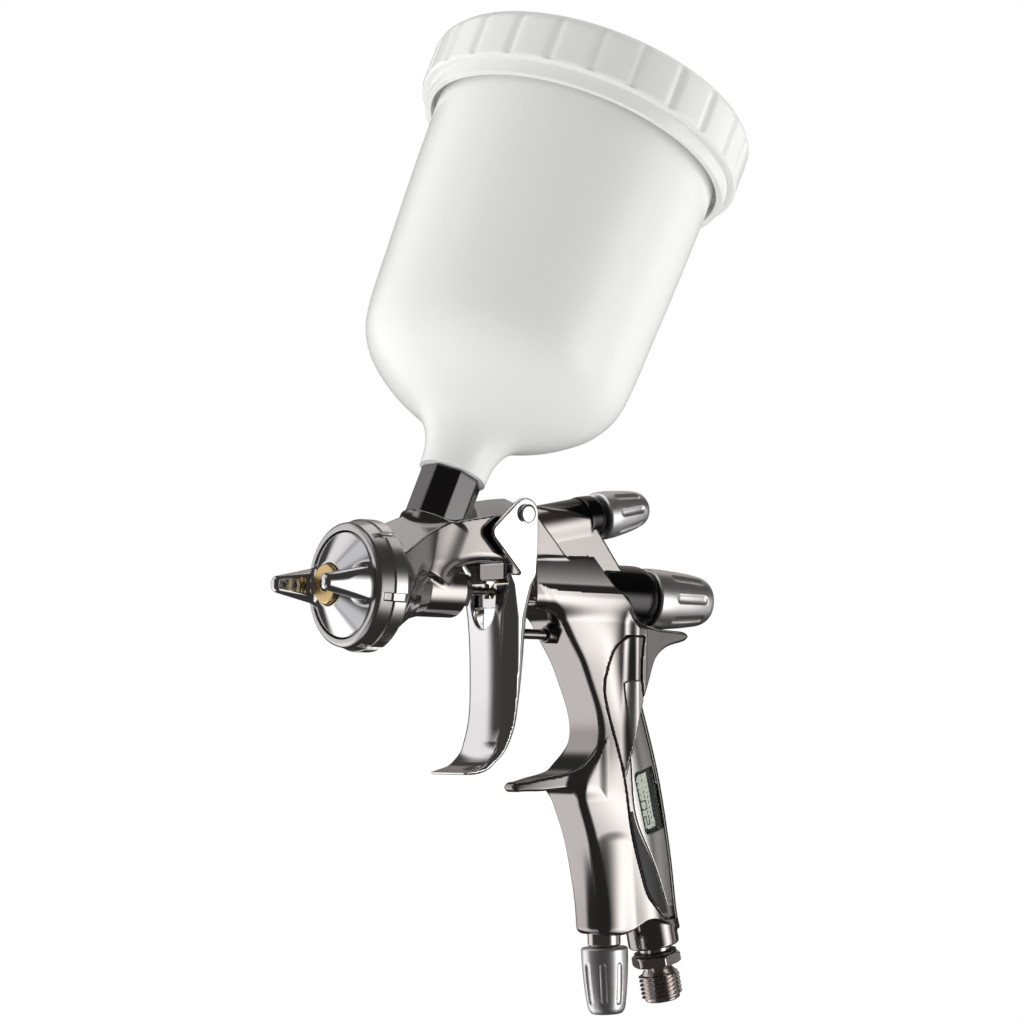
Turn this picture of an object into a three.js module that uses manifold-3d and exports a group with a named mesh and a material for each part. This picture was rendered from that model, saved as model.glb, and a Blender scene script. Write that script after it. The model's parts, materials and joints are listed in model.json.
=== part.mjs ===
// Gravity-feed HVLP spray gun, in millimetres. It sprays towards -X; its grip hangs down, its cup stands up.
// Every piece is drawn about the spray axis (the X axis, at z = 0), and the whole gun is then moved so that
// the origin lies in the middle of the grip, where a hand holds it.
import * as THREE from 'three';
import { mergeVertices } from 'three/addons/utils/BufferGeometryUtils.js';
import Module from 'manifold-3d';

const wasm = await Module();
wasm.setup();

// Driving dimensions.
const GRIP_CENTRE = { x: 53, z: -60 };
const GAP = 0.3;
const FRAME_HALF_WIDTH = 10.8;
const HEAD = { front: -43.5, flange: -41.7, flangeRadius: 17.4, barrelRadius: 8.5, rear: -11.2 };
const RING = { front: -52, rear: -42, frontRadius: 17.9, radius: 19.9, boreRadius: 17.25, notches: 6 };
const CAP = { front: -57.2, radius: 16, flangeRadius: 16.9, insertFront: -58.7, insertRadius: 6.15 };
const HORN = { offset: 13.3, tip: -68.1, tipRadius: 2.2, baseRadius: 6 };
const NEEDLE = { radius: 1.2, tip: -59.6, rear: 49.2 };
const CUP_AXIS = { x: -11.94, z: 34.64, tilt: 0.4163 };
const NECK = { radius: 9.8, height: 16, socketRadius: 6.9, throatRadius: 4 };
const CUP = { spoutRadius: 10.6, shoulder: 36, height: 118, radius: 46, wall: 1.7 };
const LID = { bandBottom: 118.6, top: 133.3, rim: 135.8, radius: 52.6, wall: 1.8 };
const PIVOT = { x: 7.05, z: 23.74, pinRadius: 2.4, headRadius: 2.92 };
const TRIGGER = { halfWidth: 13, plate: 1.6, web: 2.2 };
const FLUID_KNOB = { front: 64.95, rear: 89.6, radius: 9.8, rearRadius: 7.6, collarRadius: 10.5 };
const PATTERN = { x: 45.7, z: 25.4, rise: 0.195, bossRadius: 6.9, knobRadius: 7.6, knobLength: 18.8 };
const AIR_VALVE_Z = -12.5;
const AIR_KNOB = { x: 50.5, z: -109.8, lean: 0.062, radius: 7.4, length: 21, collarRadius: 5.2 };
const INLET = { x: 73.7, z: -121.5, lean: 0.228, threadRadius: 6.58, boreRadius: 3.4, bossRadius: 8.2 };
const GAUGE = { floor: -4.6, rim: -11.3, board: -6.1, lensTop: -10.6 };

// Finishes.
const finish = (color, roughness, metalness) => (
  new THREE.MeshStandardMaterial({ color, roughness, metalness })
);
const smokedChrome = finish(0x6f6a68, 0.15, 1);
const blackChrome = finish(0x2b2828, 0.15, 1);
const polishedChrome = finish(0xdcdcdc, 0.08, 1);
const satinNickel = finish(0x8e8a85, 0.35, 1);
const satinAluminium = finish(0xb4b4b8, 0.35, 1);
const brass = finish(0xd0ad74, 0.3, 1);
const steel = finish(0xa6a6a8, 0.3, 1);
const blackPlastic = finish(0x141414, 0.5, 0);
const sealPlastic = finish(0xe8e4dc, 0.5, 0);
const milkyPlastic = finish(0xf4f4f4, 0.35, 0);
const clearPlastic = finish(0xd8dcd4, 0.1, 0);
const displayFilm = finish(0xb8c4ae, 0.4, 0);
const boardGreen = finish(0x1d4a2c, 0.6, 0);

const gun = new THREE.Group();
gun.position.set(-GRIP_CENTRE.x, 0, -GRIP_CENTRE.z);

// Groups whose own Z axis is the axis of the pieces inside them.
function axisGroup(x, z, turn) {
  const group = new THREE.Group();
  group.position.set(x, 0, z);
  group.rotation.y = turn;
  gun.add(group);
  gun.updateMatrixWorld(true);
  return group;
}
const sprayAxis = axisGroup(0, 0, Math.PI / 2);
const cupAxis = axisGroup(CUP_AXIS.x, CUP_AXIS.z, CUP_AXIS.tilt);
const patternAxis = axisGroup(PATTERN.x, PATTERN.z, Math.PI / 2 - PATTERN.rise);
const airValveAxis = axisGroup(0, AIR_VALVE_Z, Math.PI / 2);
const airKnobAxis = axisGroup(AIR_KNOB.x, AIR_KNOB.z, -AIR_KNOB.lean);
const inletAxis = axisGroup(INLET.x, INLET.z, -INLET.lean);

// Joins equal corners and drops the empty triangles at a lathe's poles, so the surface is closed.
function closed(geometry) {
  geometry.deleteAttribute('normal');
  geometry.deleteAttribute('uv');
  const merged = mergeVertices(geometry, 1e-4);
  const index = merged.getIndex().array;
  const kept = [];
  for (let i = 0; i < index.length; i += 3) {
    const [a, b, c] = index.slice(i, i + 3);
    if (a !== b && b !== c && c !== a) kept.push(a, b, c);
  }
  merged.setIndex(kept);
  return merged;
}

function solid(geometry) {
  const surface = closed(geometry);
  const vertProperties = new Float32Array(surface.getAttribute('position').array);
  const triVerts = new Uint32Array(surface.getIndex().array);
  return new wasm.Manifold(new wasm.Mesh({ numProp: 3, vertProperties, triVerts }));
}

function surfaceOf(manifold) {
  const mesh = manifold.getMesh();
  const geometry = new THREE.BufferGeometry();
  geometry.setAttribute('position', new THREE.BufferAttribute(new Float32Array(mesh.vertProperties), 3));
  geometry.setIndex([...mesh.triVerts]);
  return geometry;
}

function place(name, geometry, material, parent = gun) {
  const mesh = new THREE.Mesh(closed(geometry), material);
  mesh.name = name;
  parent.add(mesh);
}

// A round piece turned about Z from [radius, height] points. A profile off the axis is closed on itself.
function turned(points, segments = 20) {
  const profile = points.map(([radius, height]) => new THREE.Vector2(radius, height));
  const first = profile[0];
  if (first.x > 0) profile.push(first.clone());
  return new THREE.LatheGeometry(profile, segments).rotateX(Math.PI / 2);
}

function tube(outer, inner, low, high, segments = 20) {
  return turned([[inner, low], [outer, low], [outer, high], [inner, high]], segments);
}

function rod(radius, low, high, segments = 16) {
  return turned([[0, low], [radius, low], [radius, high], [0, high]], segments);
}

function hexagon(radius, low, high, sides = 6) {
  return new THREE.CylinderGeometry(radius, radius, high - low, sides).rotateX(Math.PI / 2)
    .translate(0, 0, (low + high) / 2);
}

// A geometry drawn in an axis group, moved to where it lies about the spray axis.
function inGun(geometry, group) {
  const matrix = new THREE.Matrix4().compose(group.position, group.quaternion, group.scale);
  return solid(geometry.applyMatrix4(matrix));
}

// An outline in the side view (x, z), given thickness from y = low to y = high.
function sidePlate(shape, low, high) {
  const options = { depth: high - low, curveSegments: 2, bevelEnabled: false };
  return new THREE.ExtrudeGeometry(shape, options).rotateX(Math.PI / 2).translate(0, high, 0);
}

function outline(start, ...steps) {
  const shape = new THREE.Shape();
  shape.moveTo(...start);
  for (const step of steps) {
    if (typeof step[0] === 'number') shape.lineTo(...step);
    else shape.splineThru(step.map(([x, z]) => new THREE.Vector2(x, z)));
  }
  return shape;
}

function block(low, high) {
  const size = high.map((value, i) => value - low[i]);
  return new THREE.BoxGeometry(...size).translate(...low.map((value, i) => value + size[i] / 2));
}

// A coil spring about Z between two heights.
function coil(radius, wire, low, high, turns) {
  class Helix extends THREE.Curve {
    getPoint(t, target = new THREE.Vector3()) {
      const angle = t * turns * 2 * Math.PI;
      const height = low + wire + t * (high - low - 2 * wire);
      return target.set(radius * Math.cos(angle), radius * Math.sin(angle), height);
    }
  }
  const section = new THREE.Shape().absarc(0, 0, wire, 0, 2 * Math.PI);
  const options = { steps: turns * 8, extrudePath: new Helix(), curveSegments: 3, bevelEnabled: false };
  return new THREE.ExtrudeGeometry(section, options);
}

// The bridge over the trigger slot, the rear of the body and the grip, as one outline.
function frameOutline() {
  return outline(
    [-38, 8],
    [-38, 18.6],
    [[-27, 22.4], [-10, 25.4], [0, 27.8], [8, 29], [13.5, 28.6]],
    [20, 25],
    [42, 22.5],
    [45.6, 18],
    [49.6, 11],
    [54.6, 2],
    [59.6, -9],
    [[59.2, -24], [62.3, -36.9], [67.6, -54.3], [71.8, -73.4], [75, -92.5], [77.4, -104]],
    [63, -101.4],
    [57.6, -103.6],
    [44, -103.6],
    [[41.6, -86], [36.4, -69], [33.2, -61.4]],
    [34.8, -53.6],
    [[40.2, -49], [41.4, -42], [38.7, -32], [33, -20], [27.4, -10.2], [21.5, -5.4]],
    [12, -5],
    [12, 9.4],
    [HEAD.rear, 8.4],
  );
}

function hookOutline() {
  return outline([36, -52.4], [[31, -55.2], [22, -56.6], [12.6, -58.2], [11.5, -59.6], [13, -60.9]],
    [[24, -61], [34, -61.6]], [38, -60]);
}

function rearSpurOutline() {
  return outline([57, -8.6], [[66, -9.7], [80.4, -10.1], [82.2, -11.3], [80, -12.9]],
    [[70.3, -15.1], [64, -18.6], [60.6, -24]], [56, -24]);
}

// Head and barrel: a threaded flange for the ring, a cone and the barrel, about the spray axis.
function headProfile() {
  return turned([
    [0, HEAD.front], [CAP.flangeRadius, HEAD.front], [CAP.flangeRadius, HEAD.flange],
    [HEAD.flangeRadius, HEAD.flange], [HEAD.flangeRadius - 1.2, HEAD.flange + 2.6], [9.6, -29.5],
    [HEAD.barrelRadius, -24], [HEAD.barrelRadius, HEAD.rear], [0, HEAD.rear],
  ], 32);
}

function bodyWalls() {
  const half = FRAME_HALF_WIDTH;
  let walls = solid(sidePlate(frameOutline(), -half, half));
  walls = walls.add(solid(sidePlate(hookOutline(), -6.5, 6.5)));
  walls = walls.add(solid(sidePlate(rearSpurOutline(), -8.5, 8.5)));
  walls = walls.add(inGun(headProfile(), sprayAxis));
  walls = walls.add(inGun(rod(10.4, -34, -NECK.height - GAP, 24), cupAxis));
  walls = walls.add(inGun(rod(PATTERN.bossRadius, -32, -8, 24), patternAxis));
  walls = walls.add(inGun(rod(AIR_KNOB.radius - 0.3, 5.9, 16, 20), airKnobAxis));
  walls = walls.add(inGun(turned([[0, 10.4], [7.6, 10.4], [INLET.bossRadius, 12], [INLET.bossRadius, 24],
    [0, 24]], 24), inletAxis));
  return walls;
}

// The drilled ways: nozzle and paint chamber, packing, needle, pattern valve, air valve, air way and inlet.
function bodyBores() {
  const along = (radius, low, high, group) => inGun(rod(radius, low, high), group);
  const bores = [
    along(6.4, HEAD.front - 1, -33, sprayAxis),
    along(3, -34, -21, sprayAxis),
    along(4.2, -22, HEAD.rear + 1, sprayAxis),
    along(5, 11, 60, sprayAxis),
    along(8.3, 36, 70, sprayAxis),
    along(7.9, -24.4, -NECK.height, cupAxis),
    along(NECK.throatRadius, -37.6, -24, cupAxis),
    along(5.1, -21, 0, patternAxis),
    along(2.2, -31, -20, patternAxis),
    along(4.6, 15, 50, airValveAxis),
    along(10.9, 57.9, 75, sprayAxis),
    along(10.2, -NECK.height, 12, cupAxis),
    along(7.1, -7.9, 20, patternAxis),
    along(4.9, 5, 18.8, airKnobAxis),
    along(2.6, 18, 30, airKnobAxis),
    along(5.3, 10, 23, inletAxis),
    along(3.4, 22, 40, inletAxis),
    solid(new THREE.CylinderGeometry(PIVOT.pinRadius + GAP, PIVOT.pinRadius + GAP, 40, 20)
      .translate(PIVOT.x, 0, PIVOT.z)),
    airWay(),
    solid(sidePlate(pocketOutline(0), -20, GAUGE.floor)),
    solid(new THREE.CylinderGeometry(1.9, 1.9, 8, 12).translate(62.4, GAUGE.floor + 3.4, -82)),
  ];
  return wasm.Manifold.union(bores);
}

// The main air way, straight up the grip from above the inlet to the air valve's chamber.
function airWay() {
  const low = new THREE.Vector3(66, 1.6, -92);
  const high = new THREE.Vector3(45.4, 1.6, -10);
  const way = new THREE.CylinderGeometry(2.9, 2.9, low.distanceTo(high), 16);
  const direction = high.clone().sub(low).normalize();
  const turn = new THREE.Quaternion().setFromUnitVectors(new THREE.Vector3(0, 1, 0), direction);
  const middle = low.clone().add(high).multiplyScalar(0.5);
  return solid(way.applyQuaternion(turn).translate(...middle));
}

// The long pocket for the pressure gauge, in the left flank of the grip; inset shrinks it evenly.
function pocketOutline(inset) {
  const front = [[48.6, -20], [46.4, -32], [49, -48], [53.4, -66], [57, -82], [61.4, -93]];
  const back = [[71.8, -88], [69, -72], [66, -56], [61.2, -40], [55.6, -27]];
  const toe = [68.6, -99.6 + 2 * inset];
  return outline([51 + inset * 0.3, -17 - inset * 3], [...front.map(([x, z]) => [x + inset, z]), toe],
    back.map(([x, z]) => [x - inset, z]), [53.4, -21 - inset * 3]);
}

function buildBody() {
  place('gun_body', surfaceOf(bodyWalls().subtract(bodyBores())), smokedChrome);
}

// Air cap: a shallow cone with two horns, on a skirt that the ring holds by its flange.
function buildAirCap() {
  const face = turned([
    [CAP.insertRadius + GAP, CAP.front], [6.9, CAP.front], [CAP.radius - 0.4, -51.8], [CAP.radius, -51.2],
    [CAP.radius, -49.7], [CAP.flangeRadius, -49.7], [CAP.flangeRadius, -44], [15.2, -44], [15, -49.4],
    [CAP.insertRadius + GAP, -54.6],
  ], 28);
  const limit = inGun(rod(CAP.radius, -75, -49, 32), sprayAxis);
  const horns = [-1, 1].map((side) => {
    const cone = turned([[0, HORN.tip], [HORN.tipRadius - 0.7, HORN.tip], [HORN.tipRadius, HORN.tip + 0.8],
      [HORN.baseRadius, -50.4], [0, -50.4]], 16);
    cone.translate(0, side * HORN.offset, 0);
    return inGun(cone, sprayAxis).intersect(limit);
  });
  const drills = [-1, 1].flatMap((side) => [-65.4, -62].map((x) => {
    const hole = new THREE.CylinderGeometry(0.6, 0.6, 5, 8).rotateZ(side * 0.35);
    return solid(hole.translate(x, side * (HORN.offset - 2.6), 0));
  }));
  const cap = inGun(face, sprayAxis).add(horns[0]).add(horns[1]);
  place('air_cap', surfaceOf(cap.subtract(wasm.Manifold.union(drills))), polishedChrome);
  const front = CAP.insertFront;
  place('air_cap_insert', turned([[2.1, front], [CAP.insertRadius - 0.4, front],
    [CAP.insertRadius, front + 0.4], [CAP.insertRadius, -54.9], [4.4, -54.9], [4, -57.2], [2.1, -57.6]]),
  brass, sprayAxis);
}

function buildAirCapRing() {
  const ring = inGun(turned([
    [RING.boreRadius, RING.rear], [RING.boreRadius, -50], [CAP.radius + GAP, -50],
    [CAP.radius + GAP, RING.front], [RING.frontRadius - 0.3, RING.front],
    [RING.frontRadius + 0.4, RING.front + 0.5], [RING.radius - 0.3, -46.6], [RING.radius, -46.4],
    [RING.radius, RING.rear + 0.4], [RING.radius - 0.4, RING.rear],
  ], 36), sprayAxis);
  const cuts = Array.from({ length: RING.notches }, (_, i) => {
    const slot = block([-60, -1.15, RING.radius - 0.8], [-41, 1.15, RING.radius + 2]);
    slot.translate(10.6, 0, 0);
    return solid(slot.rotateX(2 * Math.PI * (i + 0.5) / RING.notches + Math.PI / 2 + 0.21));
  });
  place('air_cap_ring', surfaceOf(ring.subtract(wasm.Manifold.union(cuts))), satinNickel);
  place('air_baffle', tube(14.4, 8.2, -46.9, -43.9, 32), sealPlastic, sprayAxis);
}

function buildNozzleAndNeedle() {
  place('fluid_nozzle', turned([
    [0.85, -58.9], [1.5, -58.9], [2.1, -56.6], [5, -54.3], [7, -52.6], [7, -45.2], [6.1, -45], [6.1, -33.4],
    [2.6, -33.4], [2.6, -50], [1.9, -54.5],
  ]), steel, sprayAxis);
  place('fluid_needle', turned([
    [0, NEEDLE.tip], [0.35, NEEDLE.tip], [NEEDLE.radius, -55.4], [NEEDLE.radius, 34], [3.6, 34], [3.6, 36],
    [1.6, 36], [1.6, NEEDLE.rear], [0, NEEDLE.rear],
  ], 16), steel, sprayAxis);
  place('needle_sleeve', turned([
    [1.5, 4.8], [2.2, 4.8], [4.2, 7.4], [4.2, 33.7], [1.5, 33.7],
  ], 16), brass, sprayAxis);
  place('needle_packing', tube(3.8, 1.5, -21.4, -15.2, 16), sealPlastic, sprayAxis);
  const nut = inGun(rod(3.8, -14.9, -10.5), sprayAxis).add(inGun(hexagon(5.6, -10.8, -7.2), sprayAxis));
  place('needle_packing_nut', surfaceOf(nut.subtract(inGun(rod(1.5, -20, 0), sprayAxis))), steel);
}

// A knob that tapers towards its free end; length runs along +Z from the group's origin.
function knob(frontRadius, endRadius, length, boreRadius, boreDepth) {
  return turned([
    [0, boreDepth], [boreRadius, boreDepth], [boreRadius, 0], [frontRadius - 0.5, 0], [frontRadius, 0.6],
    [frontRadius, length * 0.28], [frontRadius * 0.45 + endRadius * 0.55, length * 0.7],
    [endRadius, length - 1.4], [endRadius - 1.2, length], [0, length],
  ], 24);
}

function buildFluidControl() {
  const collar = FLUID_KNOB.collarRadius;
  place('needle_housing', turned([
    [5, 36.6], [8, 36.6], [8, 47.2], [8, 58.6], [collar, 58.6], [collar, 61.4], [9.2, 64.2], [4.7, 64.2],
    [4.7, 56.4], [5, 56.2],
  ], 28), blackChrome, sprayAxis);
  place('needle_spring', coil(3.2, 0.45, 36.3, 53, 8), steel, sprayAxis);
  place('fluid_spindle', turned([[0, 56], [4.2, 56], [4.2, 78], [0, 78]]), steel, sprayAxis);
  const length = FLUID_KNOB.rear - FLUID_KNOB.front;
  const fluidKnob = knob(FLUID_KNOB.radius, FLUID_KNOB.rearRadius, length, 4.5, 13.5);
  place('fluid_knob', fluidKnob.translate(0, 0, FLUID_KNOB.front), satinAluminium, sprayAxis);
}

function buildPatternControl() {
  place('pattern_valve_housing', turned([
    [2.7, -19.6], [4.8, -19.6], [4.8, -7.7], [6.7, -7.7], [6.7, -2.4], [5.6, -0.9], [2.7, -0.9],
  ]), blackChrome, patternAxis);
  place('pattern_spindle', turned([
    [0, -29], [1.4, -28], [1.4, -19], [2.3, -18], [2.3, 12], [0, 12],
  ], 16), steel, patternAxis);
  const patternKnob = knob(PATTERN.knobRadius, 5, PATTERN.knobLength, 2.6, 12.5);
  place('pattern_knob', patternKnob, satinAluminium, patternAxis);
}

// Trigger: two side plates on the pivot, a curved finger web and a slotted yoke that pushes the needle.
function triggerOutline() {
  return outline(
    [1.8, 3.8],
    [[-0.6, -5.6], [0.9, -17.8], [1.4, -30.2], [1.1, -42.5], [-2, -49.4], [-7.4, -53.6], [-12.7, -55]],
    [-12.4, -56.2],
    [[-8.4, -56.4], [-3.8, -54], [0.8, -49], [3.7, -42.4], [5.4, -33.2], [7, -21], [8.9, -8.8], [9.8, 9.6],
      [PIVOT.x + 4.9, PIVOT.z]],
    [[PIVOT.x + 3.6, PIVOT.z + 3.5], [PIVOT.x, PIVOT.z + 4.9], [PIVOT.x - 3.6, PIVOT.z + 3.5]],
    [[-1.4, 22.4], [-6.8, 18], [-7.2, 16.4], [-6.4, 14.8]],
    [3.2, 7.4],
  );
}

function buildTrigger() {
  const { halfWidth, plate, web } = TRIGGER;
  const inner = halfWidth - plate;
  let lever = solid(sidePlate(triggerOutline(), -halfWidth, halfWidth));
  const channel = outline([web + 1, 40], [web + 1.2, -30.2], [web + 0.6, -42.5], [web - 1, -47], [12, -47],
    [20, 40]);
  lever = lever.subtract(solid(sidePlate(channel, -inner, inner)));
  lever = lever.subtract(solid(block([-20, -inner, -5], [20, inner, 40])));
  const yoke = solid(block([2.4, -inner - 0.4, -16], [4.4, inner + 0.4, 2.6]));
  const needleSlot = solid(block([0, -2, -2], [8, 2, 4]));
  lever = lever.add(yoke.subtract(needleSlot));
  const pinHole = new THREE.CylinderGeometry(PIVOT.pinRadius + GAP, PIVOT.pinRadius + GAP, 40, 20);
  lever = lever.subtract(solid(pinHole.translate(PIVOT.x, 0, PIVOT.z)));
  place('trigger', surfaceOf(lever), polishedChrome);
  const pivotAxis = new THREE.Group();
  pivotAxis.position.set(PIVOT.x, 0, PIVOT.z);
  pivotAxis.rotation.x = Math.PI / 2;
  gun.add(pivotAxis);
  const { pinRadius, headRadius } = PIVOT;
  place('trigger_pivot_stud', turned([
    [0, -1], [1.7, -1], [1.7, -12.8], [pinRadius, -12.8], [pinRadius, halfWidth + GAP],
    [headRadius, halfWidth + GAP], [headRadius, halfWidth + 1.1], [headRadius - 0.4, halfWidth + 1.4],
    [0, halfWidth + 1.4],
  ]), steel, pivotAxis);
  place('trigger_pivot_screw', turned([
    [0, -halfWidth - 1.4], [headRadius - 0.4, -halfWidth - 1.4], [headRadius, -halfWidth - 1.1],
    [headRadius, -halfWidth - GAP], [1.4, -halfWidth - GAP], [1.4, -3], [0, -3],
  ]), steel, pivotAxis);
}

function buildAirValve() {
  place('air_valve_stem', turned([
    [0, 4.8], [1.1, 4.8], [1.6, 5.6], [1.6, 34.6], [3.8, 34.6], [3.8, 37], [1.6, 37], [1.6, 40], [0, 40],
  ], 16), steel, airValveAxis);
  const nut = inGun(hexagon(4.9, 19, 23.4), airValveAxis).add(inGun(rod(4.2, 23, 31.6), airValveAxis));
  place('air_valve_guide', surfaceOf(nut.subtract(inGun(rod(1.9, 10, 40), airValveAxis))), brass);
  place('air_valve_seal', tube(4.2, 2, 31.9, 34.2, 16), blackPlastic, airValveAxis);
  place('air_valve_spring', coil(3, 0.4, 37.4, 49.4, 5), steel, airValveAxis);
}

function buildAirControl() {
  place('air_control_housing', turned([
    [2.3, 0.4], [4.7, 0.4], [AIR_KNOB.collarRadius, 0.9], [AIR_KNOB.collarRadius, 5.6], [4.6, 5.6],
    [4.6, 18], [2.3, 18],
  ]), satinAluminium, airKnobAxis);
  place('air_control_spindle', rod(2, -12, 22, 16), steel, airKnobAxis);
  const { radius, length } = AIR_KNOB;
  const airKnob = knob(radius, 5.6, length, 2.3, 12.5).rotateX(Math.PI);
  place('air_control_knob', airKnob, satinAluminium, airKnobAxis);
}

function buildInlet() {
  const { threadRadius, boreRadius } = INLET;
  const shank = turned([
    [0, -5.6], [5.2, -5.6], [threadRadius, -4.4], [threadRadius, 3.4], [4.5, 3.8], [4.5, 7], [5, 7],
    [5, 22], [0, 22],
  ]);
  const fitting = inGun(shank, inletAxis).add(inGun(hexagon(7.9, 6, 9.2), inletAxis));
  const bored = fitting.subtract(inGun(rod(boreRadius, -8, 30), inletAxis));
  place('air_inlet_fitting', surfaceOf(bored), satinNickel);
  place('inlet_gasket', tube(6.8, 5.3, 9.5, 10.1), blackPlastic, inletAxis);
}

// Pressure gauge: a tray in the pocket with board, battery, sensor and display, under a screwed cover.
function buildGauge() {
  const { floor, rim, board, lensTop } = GAUGE;
  const window = outline([54.2, -54.6], [60.6, -52.6], [65, -73.4], [58.8, -75.4]);
  const windowSolid = (low, high) => solid(sidePlate(window, low, high));
  const tray = solid(sidePlate(pocketOutline(GAP), rim + 2.3, floor - GAP));
  const hollow = solid(sidePlate(pocketOutline(1.6), rim - 1, floor - 1.3));
  const port = solid(new THREE.CylinderGeometry(2.2, 2.2, 9, 12).translate(62.4, floor, -82));
  place('gauge_tray', surfaceOf(tray.subtract(hollow).subtract(port)), blackPlastic);
  place('pressure_sensor', new THREE.CylinderGeometry(1.5, 1.5, 7, 12).translate(62.4, -2.2, -82), steel);
  const plate = outline([52.6, -31], [56.2, -33.4], [65.4, -74], [66, -85.5], [61.8, -85.5], [54.4, -54]);
  place('circuit_board', sidePlate(plate, board - 0.2, board + 0.1), boardGreen);
  place('battery', new THREE.CylinderGeometry(3.2, 3.2, 1.6, 24).translate(55.4, board - 1.4, -43), steel);
  place('display', sidePlate(window, board - 2.6, board - 0.5), displayFilm);
  const cover = solid(sidePlate(pocketOutline(GAP), rim, rim + 2));
  const screwPlaces = [[50.9, -27], [64.2, -91.4]];
  const holes = screwPlaces.map(([x, z]) => solid(new THREE.CylinderGeometry(1.9, 1.9, 1.4, 16)
    .translate(x, rim + 0.5, z)));
  const opened = cover.subtract(windowSolid(-20, 0)).subtract(wasm.Manifold.union(holes));
  place('gauge_cover', surfaceOf(opened), satinNickel);
  const lens = outline([54.7, -55], [60.3, -53.2], [64.4, -73], [59.1, -74.8]);
  place('gauge_lens', sidePlate(lens, lensTop, lensTop + 1.2), clearPlastic);
  screwPlaces.forEach(([x, z], i) => {
    const screw = new THREE.CylinderGeometry(1.6, 1.6, 0.7, 16).translate(x, rim + 0.4, z);
    place(`gauge_screw_${i + 1}`, screw, steel);
  });
}

function buildCupAndNeck() {
  const { radius, height, socketRadius, throatRadius } = NECK;
  const outer = solid(new THREE.CylinderGeometry(radius, radius, height, 8).rotateY(Math.PI / 8)
    .rotateX(Math.PI / 2).translate(0, 0, -height / 2));
  const joint = outer.add(solid(rod(7.6, -24, -height + 1))).subtract(solid(rod(socketRadius, -12, 1)))
    .subtract(solid(rod(throatRadius, -30, 1)));
  place('cup_joint', surfaceOf(joint), blackChrome, cupAxis);
  const { spoutRadius, shoulder, height: top, radius: rim, wall } = CUP;
  const outside = [[spoutRadius, 0.3], [spoutRadius + 0.2, 6], [12.6, 11.5], [17, 16.4], [24.6, 20.5],
    [32, 25], [38, 30], [41.6, shoulder], [43, 45], [44.4, 70], [45.6, 100], [rim, top]];
  const inside = outside.slice(2).map(([r, h]) => [r - wall, h + (h < shoulder ? wall : 0)]).reverse();
  inside[0][1] = top;
  place('paint_cup', turned([
    [6.6, -11], [6.6, 0.3], ...outside, ...inside, [6, 10], [4.9, 4], [4.9, -11],
  ], 36), milkyPlastic, cupAxis);
  place('paint_filter', tube(4.5, 3.9, -10.6, 12, 12), sealPlastic, cupAxis);
}

function buildLid() {
  const { bandBottom, top, rim, radius, wall } = LID;
  place('cup_lid', turned([
    [2.4, top - 4.6], [43.6, top - 4.6], [43.6, CUP.height - 5], [44, CUP.height - 5], [44.2, CUP.height + 1],
    [CUP.radius + 1.6, CUP.height + 1], [CUP.radius + 1.6, bandBottom - 4.6], [49.6, bandBottom - 4.6],
    [50, bandBottom], [radius - 0.4, bandBottom], [radius, bandBottom + 1], [radius, rim - 2.6],
    [radius - 2.2, rim], [radius - 5, rim - 0.4], [radius - 7, rim - 2.6], [radius - 7.6, top - 2.6],
    [2.4, top - 4.6 + wall],
  ], 36), milkyPlastic, cupAxis);
  place('lid_vent_plug', turned([
    [0, top - 6.4], [2, top - 6.4], [2, top - 2.4], [4, top - 2.4], [4, top - 0.8], [0, top - 0.8],
  ], 16), milkyPlastic, cupAxis);
}

buildBody();
buildAirCap();
buildAirCapRing();
buildNozzleAndNeedle();
buildFluidControl();
buildPatternControl();
buildTrigger();
buildAirValve();
buildAirControl();
buildInlet();
buildGauge();
buildCupAndNeck();
buildLid();

export default gun;
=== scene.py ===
"""A gravity-feed HVLP spray gun: chrome body and grip, hinged trigger, air cap, knobs, gauge, cup and lid."""
import json
import logging
import math
from dataclasses import dataclass
from enum import Enum

import bpy
import numpy as np
from mathutils import Matrix, Vector


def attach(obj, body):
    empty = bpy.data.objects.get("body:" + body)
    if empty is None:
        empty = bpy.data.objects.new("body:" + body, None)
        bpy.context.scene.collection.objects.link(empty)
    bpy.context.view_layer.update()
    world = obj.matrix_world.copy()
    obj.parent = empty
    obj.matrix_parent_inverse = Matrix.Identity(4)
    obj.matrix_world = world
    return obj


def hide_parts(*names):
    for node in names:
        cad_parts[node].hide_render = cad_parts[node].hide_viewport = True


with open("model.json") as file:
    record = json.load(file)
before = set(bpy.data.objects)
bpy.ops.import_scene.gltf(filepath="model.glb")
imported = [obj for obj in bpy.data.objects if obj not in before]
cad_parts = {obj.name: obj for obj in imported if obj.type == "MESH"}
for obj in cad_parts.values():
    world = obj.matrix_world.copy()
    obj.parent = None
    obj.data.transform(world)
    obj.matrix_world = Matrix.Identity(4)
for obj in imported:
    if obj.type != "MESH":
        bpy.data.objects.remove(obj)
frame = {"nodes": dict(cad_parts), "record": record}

Array = np.ndarray
Profile = list[tuple[float, float]]

log = logging.getLogger("spray_gun")

GRIP_CENTRE = (53.0, -60.0)
PIVOT = (7.05, 23.74)
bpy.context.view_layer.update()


# ---------------------------------------------------------------- shapes in millimetres about the spray axis


def in_row_frame(points: Array) -> Array:
    """Turns millimetres about the spray axis into metres about the middle of the grip.

    Args:
        points: rows of x, y, z in millimetres.

    Returns:
        The same rows in the row frame.
    """
    moved = np.array(points, float)
    moved[:, 0] -= GRIP_CENTRE[0]
    moved[:, 2] -= GRIP_CENTRE[1]
    return moved * 0.001


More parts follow.
